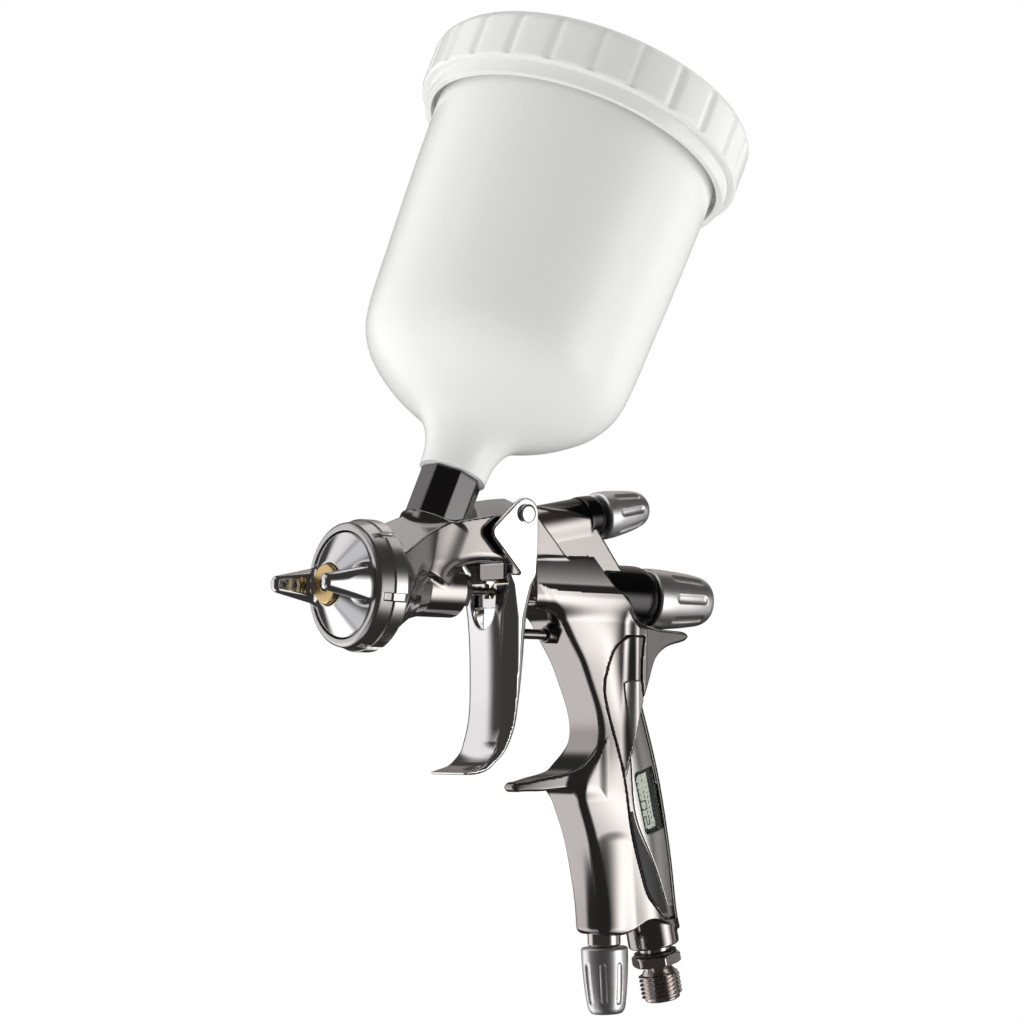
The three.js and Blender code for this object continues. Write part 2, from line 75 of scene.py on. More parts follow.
def round_max(a: Array, b: Array, radius: Array | float) -> Array:
    """Overlap of two fields with a round outer edge: where both are near zero it is an arc of the radius.

    Args:
        a: first field, negative inside.
        b: second field, negative inside.
        radius: edge radius in millimetres.

    Returns:
        The field of what both hold.
    """
    flat = np.minimum(np.maximum(a, b), -radius)
    return flat + np.hypot(np.maximum(a + radius, 0.0), np.maximum(b + radius, 0.0))


def round_min(a: Array, b: Array, radius: Array | float) -> Array:
    """Join of two fields with a hollow fillet of the radius in the inner corner."""
    return -round_max(-a, -b, radius)


def soft_max(a: Array, b: Array, width: Array | float) -> Array:
    """Overlap of two fields that meet at a slight angle: the larger plus width h^3 / 6, h fading out."""
    near = np.maximum(width - np.abs(a - b), 0.0) / width
    return np.maximum(a, b) + width * near**3 / 6.0


def side_of(y: Array) -> Array:
    """Distance from the middle plane, rounded off close to it so that fields stay smooth there."""
    return np.sqrt(y * y + 0.01)


def full_turn(count: int) -> Array:
    """Evenly spaced angles round a full turn."""
    return np.arange(count) * 2 * np.pi / count


class Spline:
    """A natural cubic spline: the smoothest curve through its knots, going on straight past both ends."""

    def __init__(self, knots: Profile) -> None:
        """Solves the second derivatives so that slope and curvature run on through every knot.

        Args:
            knots: (place, value) pairs, places rising.
        """
        self.t, self.v = np.array(knots, float).T
        step = np.diff(self.t)
        rise = np.diff(self.v) / step
        count = len(self.t)
        matrix = np.eye(count)
        inner = np.arange(1, count - 1)
        matrix[inner, inner - 1] = step[:-1]
        matrix[inner, inner] = 2.0 * (step[:-1] + step[1:])
        matrix[inner, inner + 1] = step[1:]
        right = np.zeros(count)
        right[1:-1] = 6.0 * np.diff(rise)
        self.bend = np.linalg.solve(matrix, right)

    def __call__(self, t: Array | float) -> Array:
        """Value at t: a cubic in each gap between knots."""
        inside = np.clip(t, self.t[0], self.t[-1])
        return self.part(inside)[0] + (t - inside) * self.part(inside)[1]

    def slope(self, t: Array | float) -> Array:
        """Slope at t, held beyond the ends."""
        return self.part(np.clip(t, self.t[0], self.t[-1]))[1]

    def short_of(self, t: Array, v: Array) -> Array:
        """How far v falls short of the curve at t, measured square to the curve."""
        return (self(t) - v) / np.hypot(1.0, self.slope(t))

    def part(self, t: Array) -> tuple[Array, Array]:
        """Value and slope of the cubic piece that holds t.

        Args:
            t: places within the knots.

        Returns:
            Values and slopes.
        """
        k = np.clip(np.searchsorted(self.t, t) - 1, 0, len(self.t) - 2)
        step = self.t[k + 1] - self.t[k]
        a = t - self.t[k]
        low, high = self.bend[k], self.bend[k + 1]
        lean = (self.v[k + 1] - self.v[k]) / step - step * (2.0 * low + high) / 6.0
        value = self.v[k] + a * (lean + a * (low / 2.0 + a * (high - low) / (6.0 * step)))
        return value, lean + a * (low + a * (high - low) / (2.0 * step))


@dataclass(frozen=True)
class Axis:
    """A turning axis in the gun's middle plane, through (x, z) along (dx, dz)."""

    x: float
    z: float
    dx: float
    dz: float

    def place(self, side: Array, across: Array, along: Array) -> Array:
        """Points at side (square to the axis in the middle plane), across (along Y) and along the axis."""
        x = self.x + along * self.dx + side * self.dz
        z = self.z + along * self.dz - side * self.dx
        return np.stack([x, across, z], -1)

    def local(self, x: Array, y: Array, z: Array) -> tuple[Array, Array]:
        """Distance along the axis and radius about it."""
        along = (x - self.x) * self.dx + (z - self.z) * self.dz
        side = (x - self.x) * self.dz - (z - self.z) * self.dx
        return along, np.hypot(side, y)


SPRAY = Axis(0.0, 0.0, 1.0, 0.0)
CUP_AXIS = Axis(-11.94, 34.64, math.sin(0.4163), math.cos(0.4163))
PATTERN_AXIS = Axis(45.7, 25.4, math.cos(0.195), math.sin(0.195))
AIR_KNOB_AXIS = Axis(50.5, -109.8, -math.sin(0.062), math.cos(0.062))
AIR_VALVE_AXIS = Axis(0.0, -12.5, 1.0, 0.0)
INLET_AXIS = Axis(73.7, -121.5, -math.sin(0.228), math.cos(0.228))


# ---------------------------------------------------------------- making meshes


@dataclass
class Surface:
    """Points in millimetres with four-sided and three-sided faces."""

    points: Array
    quads: Array
    tris: Array

    def corner_sets(self) -> list[Array]:
        """Every face as triangles: a quad is its two halves."""
        parts = [self.quads[:, [0, 1, 2]], self.quads[:, [0, 2, 3]], self.tris]
        return [part for part in parts if len(part)]

    def face_out(self) -> None:
        """Turns every face round if the enclosed volume, the sum of its corner products, is negative."""
        volume = 0.0
        for part in self.corner_sets():
            a, b, c = (self.points[part[:, i]] for i in range(3))
            volume += float(np.sum(a * np.cross(b, c)))
        if volume < 0.0:
            self.quads = self.quads[:, ::-1]
            self.tris = self.tris[:, ::-1]

    def normals(self) -> Array:
        """Point normals: the faces' normals weighted by area, so broad faces stay flat by narrow edges."""
        total = np.zeros_like(self.points)
        for part in self.corner_sets():
            a, b, c = (self.points[part[:, i]] for i in range(3))
            face = np.cross(b - a, c - a)
            for i in range(3):
                for k in range(3):
                    total[:, k] += np.bincount(part[:, i], face[:, k], len(self.points))
        return total / np.maximum(np.linalg.norm(total, axis=1, keepdims=True), 1e-12)


def make_piece(name: str, surface: Surface, normals: Array | None = None) -> bpy.types.Object:
    """Puts a surface into a new object at the origin, smooth shaded.

    Args:
        name: the piece's name.
        surface: its points and faces.
        normals: point normals, worked out from the faces if left out.

    Returns:
        The new object.
    """
    if normals is None:
        surface.face_out()
        normals = surface.normals()
    mesh = bpy.data.meshes.new(name)
    quads, tris = surface.quads, surface.tris
    corners = np.concatenate([quads.ravel(), tris.ravel()]).astype(np.int32)
    starts = np.concatenate([np.arange(len(quads)) * 4, len(quads) * 4 + np.arange(len(tris)) * 3])
    mesh.vertices.add(len(surface.points))
    mesh.vertices.foreach_set("co", in_row_frame(surface.points).astype(np.float32).ravel())
    mesh.loops.add(len(corners))
    mesh.loops.foreach_set("vertex_index", corners)
    mesh.polygons.add(len(starts))
    mesh.polygons.foreach_set("loop_start", starts.astype(np.int32))
    mesh.polygons.foreach_set("use_smooth", np.ones(len(starts), bool))
    mesh.update(calc_edges=True)
    mesh.normals_split_custom_set_from_vertices(normals.astype(np.float32).tolist())
    piece = bpy.data.objects.new(name, mesh)
    bpy.context.scene.collection.objects.link(piece)
    return piece


def no_tris() -> Array:
    """An empty list of three-sided faces."""
    return np.zeros((0, 3), int)


def grid_faces(rows: int, columns: int, wrap_rows: bool) -> Array:
    """Quads of a grid of points that closes on itself across its columns, and along its rows if asked.

    Args:
        rows: points along the first way.
        columns: points along the second way, which always closes.
        wrap_rows: whether the first way closes too.

    Returns:
        Four indices a face.
    """
    index = np.arange(rows * columns).reshape(rows, columns)
    below = np.roll(index, -1, 0) if wrap_rows else index[1:]
    above = index if wrap_rows else index[:-1]
    faces = np.stack([above, np.roll(above, -1, 1), np.roll(below, -1, 1), below], -1)
    return faces.reshape(-1, 4)


def turned_surface(axis: Axis, radius: Array, height: Array, angles: Array) -> Surface:
    """A profile carried round an axis: point (r cos a, r sin a, h), with a pole where it ends on the axis.

    Args:
        axis: what it turns about.
        radius: radius at (profile point, angle).
        height: height along the axis at (profile point, angle).
        angles: the angles, rising through a full turn.

    Returns:
        The closed surface.
    """
    ends_on_axis = bool(radius[0].max() < 1e-6), bool(radius[-1].max() < 1e-6)
    first, last = int(ends_on_axis[0]), len(radius) - int(ends_on_axis[1])
    ring_r, ring_h = radius[first:last], height[first:last]
    around = np.broadcast_to(angles, ring_r.shape)
    points = axis.place(ring_r * np.cos(around), ring_r * np.sin(around), ring_h).reshape(-1, 3)
    rows, columns = ring_r.shape
    quads = grid_faces(rows, columns, not any(ends_on_axis))
    tris = []
    ring = np.arange(columns)
    for at_end, present in enumerate(ends_on_axis):
        if not present:
            continue
        pole = axis.place(np.zeros(1), np.zeros(1), height[-at_end, :1])
        edge = ring + (rows - 1) * columns * at_end
        fan = np.stack([np.full(columns, len(points)), np.roll(edge, -1), edge], -1)
        tris.append(fan[:, ::-1] if at_end else fan)
        points = np.vstack([points, pole])
    return Surface(points, quads, np.vstack(tris) if tris else no_tris())


def carried_round(profile: Array, count: int) -> tuple[Array, Array]:
    """Radius and height of each profile point at each of count angles."""
    return np.repeat(profile[:, :1], count, 1), np.repeat(profile[:, 1:], count, 1)


def eased(corners: list[tuple[float, ...]], closed: bool, steps: int = 4) -> Array:
    """A profile with its corners rounded: each corner gives way to a parabola that starts a little before it.

    Args:
        corners: (radius, height) or (radius, height, ease) of each corner, ease in millimetres.
        closed: whether the last corner joins the first.
        steps: points on each rounded corner less one.

    Returns:
        The (radius, height) rows.
    """
    places = np.array([corner[:2] for corner in corners], float)
    eases = [corner[2] if len(corner) > 2 else 0.25 for corner in corners]
    count = len(places)
    t = np.linspace(0.0, 1.0, steps + 1)[:, None]
    rows = []
    for i, (place, ease) in enumerate(zip(places, eases)):
        if ease <= 0.0 or (not closed and i in (0, count - 1)):
            rows.append(place[None])
            continue
        before, after = places[i - 1], places[(i + 1) % count]
        to_before, to_after = before - place, after - place
        reach_before = min(ease, 0.48 * float(np.linalg.norm(to_before)))
        reach_after = min(ease, 0.48 * float(np.linalg.norm(to_after)))
        start = place + to_before / np.linalg.norm(to_before) * reach_before
        end = place + to_after / np.linalg.norm(to_after) * reach_after
        rows.append((1 - t) ** 2 * start + 2 * t * (1 - t) * place + t**2 * end)
    return np.vstack(rows)


def filled(profile: Array, longest: float, closed: bool) -> Array:
    """A profile with extra points so that no gap between two points is longer than asked."""
    following = np.roll(profile, -1, 0) if closed else profile[1:]
    rows = []
    for a, b in zip(profile[: len(following)], following):
        parts = max(1, math.ceil(float(np.linalg.norm(b - a)) / longest))
        rows.append(a + (b - a) * (np.arange(parts) / parts)[:, None])
    if not closed:
        rows.append(profile[-1:])
    return np.vstack(rows)


def turned_piece(name: str, axis: Axis, corners: list[tuple[float, ...]], closed: bool,
                 count: int = 96) -> bpy.types.Object:
    """A plain turned piece with eased corners.

    Args:
        name: the piece's name.
        axis: what it turns about.
        corners: profile corners.
        closed: True for a tube, False where both ends lie on the axis.
        count: points round the turn.

    Returns:
        The object.
    """
    radius, height = carried_round(eased(corners, closed), count)
    return make_piece(name, turned_surface(axis, radius, height, full_turn(count)))


def turned_across(name: str, centre: tuple[float, float], facing: float,
                  corners: list[tuple[float, ...]]) -> bpy.types.Object:
    """A round piece about a line across the gun.

    Args:
        name: the piece's name.
        centre: the line's x and z.
        facing: -1 where heights run to the left flank, 1 to the right.
        corners: (radius, height) profile corners, both ends on the line.

    Returns:
        The object.
    """
    count = 64
    radius, height = carried_round(eased(corners, False), count)
    surface = turned_surface(Axis(0.0, 0.0, 0.0, 1.0), radius, height, full_turn(count))
    a, b, c = surface.points.T
    surface.points = np.stack([centre[0] + a, facing * c, centre[1] + b], -1)
    return make_piece(name, surface)


class FieldSolid:
    """A solid given by a field that is negative inside; its skin is netted on a grid and settled on zero."""

    name: str = ""
    low: tuple[float, float, float] = (0.0, 0.0, 0.0)
    high: tuple[float, float, float] = (1.0, 1.0, 1.0)
    step: float = 0.6

    def value(self, x: Array, y: Array, z: Array) -> Array:
        """The field at points in millimetres about the spray axis."""
        raise NotImplementedError

    def gradient(self, points: Array) -> tuple[Array, Array]:
        """The field and its slope by central differences a twentieth of a millimetre wide.

        Args:
            points: rows of x, y, z.

        Returns:
            Values and slope vectors.
        """
        reach = 0.05
        x, y, z = points.T
        slope = np.stack([
            self.value(x + reach, y, z) - self.value(x - reach, y, z),
            self.value(x, y + reach, z) - self.value(x, y - reach, z),
            self.value(x, y, z + reach) - self.value(x, y, z - reach),
        ], -1) / (2 * reach)
        return self.value(x, y, z), slope

    def net(self, step: float) -> tuple[Array, Array]:
        """Surface net: one point in each cell that the zero level crosses, at the mean of its edge crossings.

        Args:
            step: cell size in millimetres.

        Returns:
            Points and quads, faces outwards.
        """
        low = np.array(self.low) - 1.5 * step
        counts = np.ceil((np.array(self.high) + 1.5 * step - low) / step).astype(int) + 1
        axes = [low[i] + step * np.arange(counts[i]) for i in range(3)]
        values = self.value(axes[0][:, None, None], axes[1][None, :, None], axes[2][None, None, :])
        values = np.broadcast_to(values, counts)
        inside = values < 0.0
        sums = np.zeros((int(np.prod(counts)), 3))
        hits = np.zeros(int(np.prod(counts)))
        faces = []
        for axis in range(3):
            ahead = np.eye(3, dtype=int)[axis]
            low_part = tuple(slice(0, counts[i] - ahead[i]) for i in range(3))
            high_part = tuple(slice(ahead[i], counts[i]) for i in range(3))
            places = np.argwhere(inside[low_part] != inside[high_part])
            here = values[tuple(places.T)]
            there = values[tuple((places + ahead).T)]
            crossing = places + (here / (here - there))[:, None] * ahead
            u, v = (axis + 1) % 3, (axis + 2) % 3
            cells = []
            for shift_u, shift_v in ((0, 0), (-1, 0), (-1, -1), (0, -1)):
                cell = places.copy()
                cell[:, u] += shift_u
                cell[:, v] += shift_v
                flat = np.ravel_multi_index(cell.T, counts)
                for k in range(3):
                    sums[:, k] += np.bincount(flat, crossing[:, k], len(sums))
                hits += np.bincount(flat, minlength=len(hits))
                cells.append(flat)
            quad = np.stack(cells, -1)
            outside_first = here > 0.0
            quad[outside_first] = quad[outside_first][:, ::-1]
            faces.append(quad)
        used = np.flatnonzero(hits)
        number = np.zeros(len(hits), int)
        number[used] = np.arange(len(used))
        points = low + step * sums[used] / hits[used, None]
        return points, number[np.vstack(faces)]

    def settle(self, points: Array, quads: Array, step: float) -> tuple[Array, Array]:
        """Moves points onto the zero level along the slope, and evens them out along the skin in between.

        Args:
            points: rows of x, y, z.
            quads: faces.
            step: cell size in millimetres.

        Returns:
            Settled points and their unit normals.
        """
        start, end = quads.ravel(), np.roll(quads, -1, 1).ravel()
        share = np.bincount(start, minlength=len(points)) + np.bincount(end, minlength=len(points))
        for turn in range(4):
            value, slope = self.gradient(points)
            size = np.maximum(np.sum(slope * slope, 1), 0.05)
            move = slope * (value / size)[:, None]
            reach = np.linalg.norm(move, axis=1, keepdims=True)
            points = points - move * np.minimum(1.0, step / np.maximum(reach, 1e-9))
            if turn == 3:
                break
            mean = np.stack([np.bincount(start, points[end, k], len(points))
                             + np.bincount(end, points[start, k], len(points)) for k in range(3)], -1)
            drift = mean / share[:, None] - points
            normal = slope / np.sqrt(size)[:, None]
            points = points + 0.5 * (drift - normal * np.sum(drift * normal, 1, keepdims=True))
        slope = self.gradient(points)[1]
        return points, slope / np.maximum(np.linalg.norm(slope, axis=1, keepdims=True), 1e-9)

    def build(self) -> bpy.types.Object:
        """Nets, settles and makes the piece, with the field's own slope as its normals."""
        step = self.step * 1.0
        points, quads = self.net(step)
        points, normals = self.settle(points, quads, step)
        log.info("%s: %d points", self.name, len(points))
        return make_piece(self.name, Surface(points, quads, no_tris()), normals)


# ---------------------------------------------------------------- body, grip and gauge


@dataclass
class Grip:
    """The grip's outline and flanks, shared by the body and by the gauge's housing and cover."""

    front: Spline = Spline([(-104, 44.1), (-95.4, 43.3), (-86, 41.1), (-76.5, 38.6), (-68.7, 35.7),
                            (-61.5, 33.6), (-54, 36.6), (-47, 40.5), (-42, 41.4), (-35, 39.9), (-26, 36),
                            (-20, 33), (-14, 28.9), (-8, 25), (-4, 22)])
    back: Spline = Spline([(-104, 78), (-100.5, 77), (-92.5, 75.6), (-83, 74.2), (-73.4, 72.4),
                           (-63.9, 70.4), (-54.3, 68), (-46.4, 65.6), (-36.9, 62.4), (-29, 60), (-22, 59.4),
                           (-12, 60.5)])
    front_half: Spline = Spline([(-104, 5.0), (-85, 5.9), (-65, 6.5), (-52, 7.4), (-40, 7.4), (-8, 7.8)])
    chamfer: Spline = Spline([(-104, 1.2), (-70, 1.1), (-62, 1.1), (-54, 1.0), (-48, 0.8), (-8, 0.8)])
    rim_line: Spline = Spline([(-104, 71.5), (-99.1, 65.2), (-94.8, 60.8), (-89, 57.9), (-80.6, 55),
                               (-70.6, 52.4), (-63.5, 51.2), (-50.6, 48.2), (-41.4, 45.4), (-33.1, 42.9),
                               (-28.2, 42), (-20.6, 43.5), (-14.6, 47.3), (-11.5, 52.4)])
    cover_line: Spline = Spline([(-97, 69), (-88.1, 64.6), (-79.6, 59.8), (-71.7, 55.4), (-66, 53.6),
                                 (-53.5, 52.3), (-43, 51.3), (-34.7, 50.4), (-26.7, 49.5)])
    half_width: Spline = Spline([(-104, 11.9), (-92, 11.3), (-80, 10.6), (-70, 10.05), (-62, 9.85),
                                 (-50, 10.2), (-34, 10.65), (-20, 10.65), (-8, 10.4)])
    foot: Spline = Spline([(40, -103.6), (57, -103.6), (60, -101.8), (64, -101.3), (70, -102.6),
                           (78, -104.6)])

    def depths(self, x: Array, z: Array) -> tuple[Array, Array]:
        """Distance in from the front edge and from the back edge, square to each."""
        return -self.front.short_of(z, x), self.back.short_of(z, x)

    def flank(self, x: Array, side: Array, z: Array) -> Array:
        """Field of the flanks: a chamfer off the front, a slow flare to full width, a slope to the back."""
        ahead, behind = self.depths(x, z)
        edge = self.front_half(z)
        chamfered = (side - edge - 0.85 * ahead) / 1.31
        flared = (side - edge - self.chamfer(z) - 0.20 * ahead) / 1.02
        backed = (side - 5.4 - 0.42 * behind) / 1.085
        wide = soft_max(soft_max(flared, side - self.half_width(z), 3.2), backed, 4.0)
        return soft_max(chamfered, wide, 0.7)

    def value(self, x: Array, side: Array, z: Array) -> Array:
        """Field of the whole grip between its front, back, flanks, foot and top."""
        ahead, behind = self.depths(x, z)
        core = soft_max(self.flank(x, side, z), -ahead, 0.8)
        core = soft_max(core, -behind, 3.2)
        core = round_max(core, self.foot(x) - z, 0.7)
        return np.maximum(core, z + 1.0)


GRIP = Grip()
POCKET_FLOOR = 5.0
POCKET_FOOT = 101.0
POCKET_HEAD = 12.2
POCKET_BACK = 2.6


@dataclass
class GunBody(FieldSolid):
    """The plated body in one skin: head, bridge, pivot block, rear block, grip, hook and spur."""

    name: str = "body_shell"
    low: tuple[float, float, float] = (-43.6, -17.6, -111.2)
    high: tuple[float, float, float] = (83.0, 17.6, 29.6)
    step: float = 0.52
    roof: Spline = Spline([(-41.7, 17.2), (-33.6, 20.4), (-21.3, 24.3), (-10, 26.4), (-1, 27.9), (6.8, 29),
                           (13, 29.3)])
    shoulder: Spline = Spline([(-42, 16.4), (-36, 14.6), (-30, 12.4), (-24, 10.9), (-18, 10.2), (-8, 9.8),
                               (16, 9.8)])
    belly: Spline = Spline([(-41, -11), (-38.4, -9.5), (-35, -6), (-30, 0.5), (-20, 4.3), (-12, 7.1),
                            (0, 8.8), (12, 9.4)])
    hook_top: Spline = Spline([(11.3, -59.9), (12, -59), (14, -58.3), (19.9, -57.2), (25, -56.3), (30, -55.2),
                               (33, -54.2), (38, -51.8)])
    hook_foot: Spline = Spline([(11.3, -60.1), (12, -60.9), (14, -61.3), (20, -61.1), (28, -60.4), (38, -60)])
    spur_top: Spline = Spline([(52, -8.6), (60, -9.2), (68, -9.7), (76, -9.9), (80.6, -10.2), (82.1, -10.8),
                               (82.8, -11.5)])
    spur_foot: Spline = Spline([(54, -42), (58, -31), (60.3, -26), (62.4, -21.4), (65.3, -18), (70.3, -15.3),
                                (76.6, -13.8), (80, -13.1), (82, -12.2), (82.8, -11.5)])

    def rear_block(self, x: Array, side: Array, z: Array) -> Array:
        """Field of the block behind the pivot: leaning flanks, a sharp top edge and a round lower edge."""
        top = z - 10.9 - 0.045 * (x - 12.5)
        slant = (x - 37.2) * 0.807 + (z - 11.8) * 0.59
        tail = (x - 46.7) * 0.541 + (z + 1.2) * 0.841
        outline = np.maximum(np.maximum(top, 12.9 - x), round_min(slant, tail, 6.0))
        flank = side - 10.95 + 0.006 * np.maximum(z + 2.5, 0.0) ** 2
        block = round_max(flank, outline, 0.7)
        return round_max(block, -5.2 - z, 4.6)

    def rib(self, x: Array, side: Array, z: Array) -> Array:
        """Field of the narrow rib that carries the pattern boss above the rear block."""
        top = z - 27.6 + 0.12 * (x - 12.0)
        rear = (x - 43.8) * 0.779 + (z - 17.9) * 0.627
        outline = np.maximum(np.maximum(top, rear), np.maximum(12.0 - x, 6.0 - z))
        return round_max(side - 6.3, outline, 1.0)

    def bridge(self, x: Array, side: Array, z: Array) -> Array:
        """Field of the bridge over the trigger slot: a ridged roof, creased shoulders, a swept belly."""
        roof = (z - self.roof(x) + 0.5 * side) / 1.12
        flank = side - self.shoulder(x)
        ends = np.maximum((x - 15.4) * 0.723 + (z - 22.6) * 0.691, -41.6 - x)
        belly = self.belly.short_of(x, z)
        swell = np.interp(x, [-36.0, -22.0, 0.0, 6.0], [6.5, 4.6, 2.4, 1.6])
        shell = round_max(soft_max(roof, flank, 0.5), ends, 0.8)
        return round_max(shell, belly, swell)

    def head(self, x: Array, y: Array, z: Array) -> Array:
        """Field of the threaded flange, the cone behind it and the barrel, about the spray axis."""
        radius = np.interp(x, [-43.5, -41.8, -41.6, -39.6, -34.0, -29.5, -25.0, -11.0],
                           [16.7, 16.7, 17.2, 16.7, 12.6, 9.7, 8.5, 8.5])
        ends = np.maximum(-43.5 - x, x + 11.2)
        return round_max(np.hypot(y, z) - radius, ends, 0.6)

    def horns(self, x: Array, side: Array, z: Array) -> Array:
        """Field of the finger hook and of the rear spur, each tapering to a blunt point."""
        hook = soft_max(z - self.hook_top(x), self.hook_foot(x) - z, 0.7)
        hook_half = 2.3 + 5.2 * np.clip((x - 11.3) / 24.0, 0.0, 1.0) ** 0.8
        hook = round_max(np.maximum(hook, x - 40.0), side - hook_half, 1.0)
        spur = soft_max(z - self.spur_top(x), self.spur_foot(x) - z, 0.8)
        spur_half = 2.2 + 7.4 * np.clip((82.8 - x) / 24.0, 0.0, 1.0) ** 0.9
        spur = round_max(np.maximum(spur, 54.0 - x), side - spur_half, 1.1)
        return np.minimum(hook, spur)

    def bosses(self, solid: Array, x: Array, y: Array, z: Array) -> Array:
        """The body joined to the round bosses for cup, pattern valve, air valve knob and inlet."""
        for axis, radius, first, last, fillet in (
                (CUP_AXIS, 10.5, -34.0, -16.2, 1.6), (PATTERN_AXIS, 6.7, -34.0, -7.9, 1.5),
                (AIR_KNOB_AXIS, 7.0, 6.0, 34.0, 4.0), (INLET_AXIS, 8.1, 12.0, 26.0, 0.8),):
            along, out = axis.local(x, y, z)
            ends = np.maximum(first - along, along - last)
            solid = round_min(solid, round_max(out - radius, ends, 0.8), fillet)
        return solid

    def outer(self, x: Array, y: Array, z: Array) -> Array:
        """The whole body before anything is cut out of it."""
        side = side_of(y)
        solid = round_min(GRIP.value(x, side, z), self.horns(x, side, z), 5.0)
        solid = round_min(solid, self.rear_block(x, side, z), 4.0)
        solid = np.minimum(solid, self.rib(x, side, z))
        keel = np.maximum(np.abs(x - 9.0) - 5.0, np.abs(z - 7.0) - 3.4)
        solid = np.minimum(solid, round_max(keel, side - 6.5, 0.8))
        front = round_min(self.bridge(x, side, z), self.head(x, y, z), 1.2)
        solid = round_min(solid, front, 0.8)
        return self.bosses(solid, x, y, z)

    def value(self, x: Array, y: Array, z: Array) -> Array:
        """The body less the gauge pocket in its left flank, the rim line and the open bores."""
        solid = self.outer(x, y, z)
        pocket = np.maximum(GRIP.rim_line(z) - x, y + POCKET_FLOOR)
        pocket = np.maximum(pocket, np.maximum(-z - POCKET_FOOT, z + POCKET_HEAD))
        pocket = np.maximum(pocket, POCKET_BACK - GRIP.depths(x, z)[1])
        solid = round_max(solid, -pocket, 0.4)
        air_way = np.maximum(AIR_KNOB_AXIS.local(x, y, z)[1] - 4.9, z + 98.0)
        packing = np.maximum(np.hypot(y, z) - 4.2, -(x + 30.0))
        return np.maximum(np.maximum(solid, -air_way), -np.maximum(packing, x + 5.0))


@dataclass
class GaugeHousing(FieldSolid):
    """The strip let into the grip's left flank that carries the gauge, a hairline clear of the body."""

    name: str = "gauge_housing"
    low: tuple[float, float, float] = (41.0, -11.2, -101.4)
    high: tuple[float, float, float] = (77.0, -3.4, -11.6)
    step: float = 0.42
    gap: float = 0.5
    sink: float = 0.25
    head: float = -12.3

    def value(self, x: Array, y: Array, z: Array) -> Array:
        """Flank field sunk a little, kept between rim line, back edge and the pocket's ends."""
        skin = GunBody().outer(x, y, z) + self.sink
        edges = np.maximum(GRIP.rim_line.short_of(z, x) + self.gap, y + POCKET_FLOOR + self.gap)
        ends = np.maximum(-z - POCKET_FOOT + self.gap, z - self.head)
        back = POCKET_BACK + self.gap - GRIP.depths(x, z)[1]
        strip = round_max(skin, np.maximum(np.maximum(edges, ends), back), 0.35)
        well = np.maximum(GaugeCover().window_edge(x, z, -0.3), -skin - 2.0)
        return np.maximum(strip, -well)


@dataclass
class GaugeFoot(FieldSolid):
    """The dark wedge of the gauge housing below the display, between the rim line and the cover."""

    name: str = "gauge_wedge"
    low: tuple[float, float, float] = (50.0, -11.4, -100.6)
    high: tuple[float, float, float] = (75.0, -6.0, -68.0)
    step: float = 0.45

    def value(self, x: Array, y: Array, z: Array) -> Array:
        """A thin raised patch of the flank between the two lines."""
        skin = np.abs(GRIP.value(x, side_of(y), z) + 0.35) - 0.3
        rim = GRIP.rim_line.short_of(z, x) + 0.75
        cover = -GRIP.cover_line.short_of(z, x) + 0.1
        patch = np.maximum(np.maximum(rim, cover), np.maximum(y + 5.8, -z - 99.4))
        return round_max(skin, patch, 0.25)


@dataclass
class GaugeCover(FieldSolid):
    """The gauge's satin cover, standing just proud of its housing, with the display window in it."""

    name: str = "gauge_cover_shell"
    low: tuple[float, float, float] = (48.5, -11.6, -98.2)
    high: tuple[float, float, float] = (76.0, -5.0, -26.0)
    step: float = 0.42
    window: tuple[Profile, ...] = (((53.9, -55.5), (63.6, -52.9)), ((63.6, -52.9), (69.4, -72.0)),
                                   ((69.4, -72.0), (59.1, -74.4)), ((59.1, -74.4), (53.9, -55.5)))
    proud: float = 0.12

    def window_edge(self, x: Array, z: Array, inset: float) -> Array:
        """Field of the window's outline in side view: the farthest out of its four edge lines."""
        edges = []
        for (ax, az), (bx, bz) in self.window:
            length = math.hypot(bx - ax, bz - az)
            edges.append(((x - ax) * (az - bz) + (z - az) * (bx - ax)) / length + inset)
        return round_max(round_max(edges[0], edges[1], 1.2), round_max(edges[2], edges[3], 1.2), 1.2)

    def outline(self, x: Array, z: Array) -> Array:
        """Field of the cover's outline in side view."""
        front = GRIP.cover_line.short_of(z, x) + 0.3
        back = 3.3 - GRIP.depths(x, z)[1]
        ends = np.maximum(z + 26.6 - 0.12 * (x - 50.0), -z - 97.4)
        return round_max(round_max(front, back, 1.0), ends, 1.0)

    def value(self, x: Array, y: Array, z: Array) -> Array:
        """The flank's field let out a little, so the cover stands proud of its housing, less the window."""
        skin = GunBody().outer(x, y, z) - self.proud
        shell = round_max(skin, np.maximum(self.outline(x, z), y + 5.6), 0.4)
        return round_max(shell, -self.window_edge(x, z, 0.0), 0.3)


@dataclass
class GaugeWindow(FieldSolid):
    """The clear lens, or the display under it, in the outline of the cover's window."""

    name: str = "gauge_window"
    low: tuple[float, float, float] = (53.5, -11.6, -76.4)
    high: tuple[float, float, float] = (71.0, -4.4, -51.6)
    step: float = 0.4
    inset: float = 0.12
    sink: float = 0.05
    depth: float = 0.9
    reach: float = 30.0

    def value(self, x: Array, y: Array, z: Array) -> Array:
        """A sheet of even depth under the flank's skin, inside the window's edge."""
        skin = GRIP.value(x, side_of(y), z) + self.sink
        sheet = np.maximum(skin, -skin - self.depth)
        sheet = np.maximum(sheet, (x - 53.9 + 0.27 * (z + 55.5)) * 0.965 - self.reach)
        return round_max(sheet, np.maximum(GaugeCover().window_edge(x, z, self.inset), y + 4.6), 0.2)


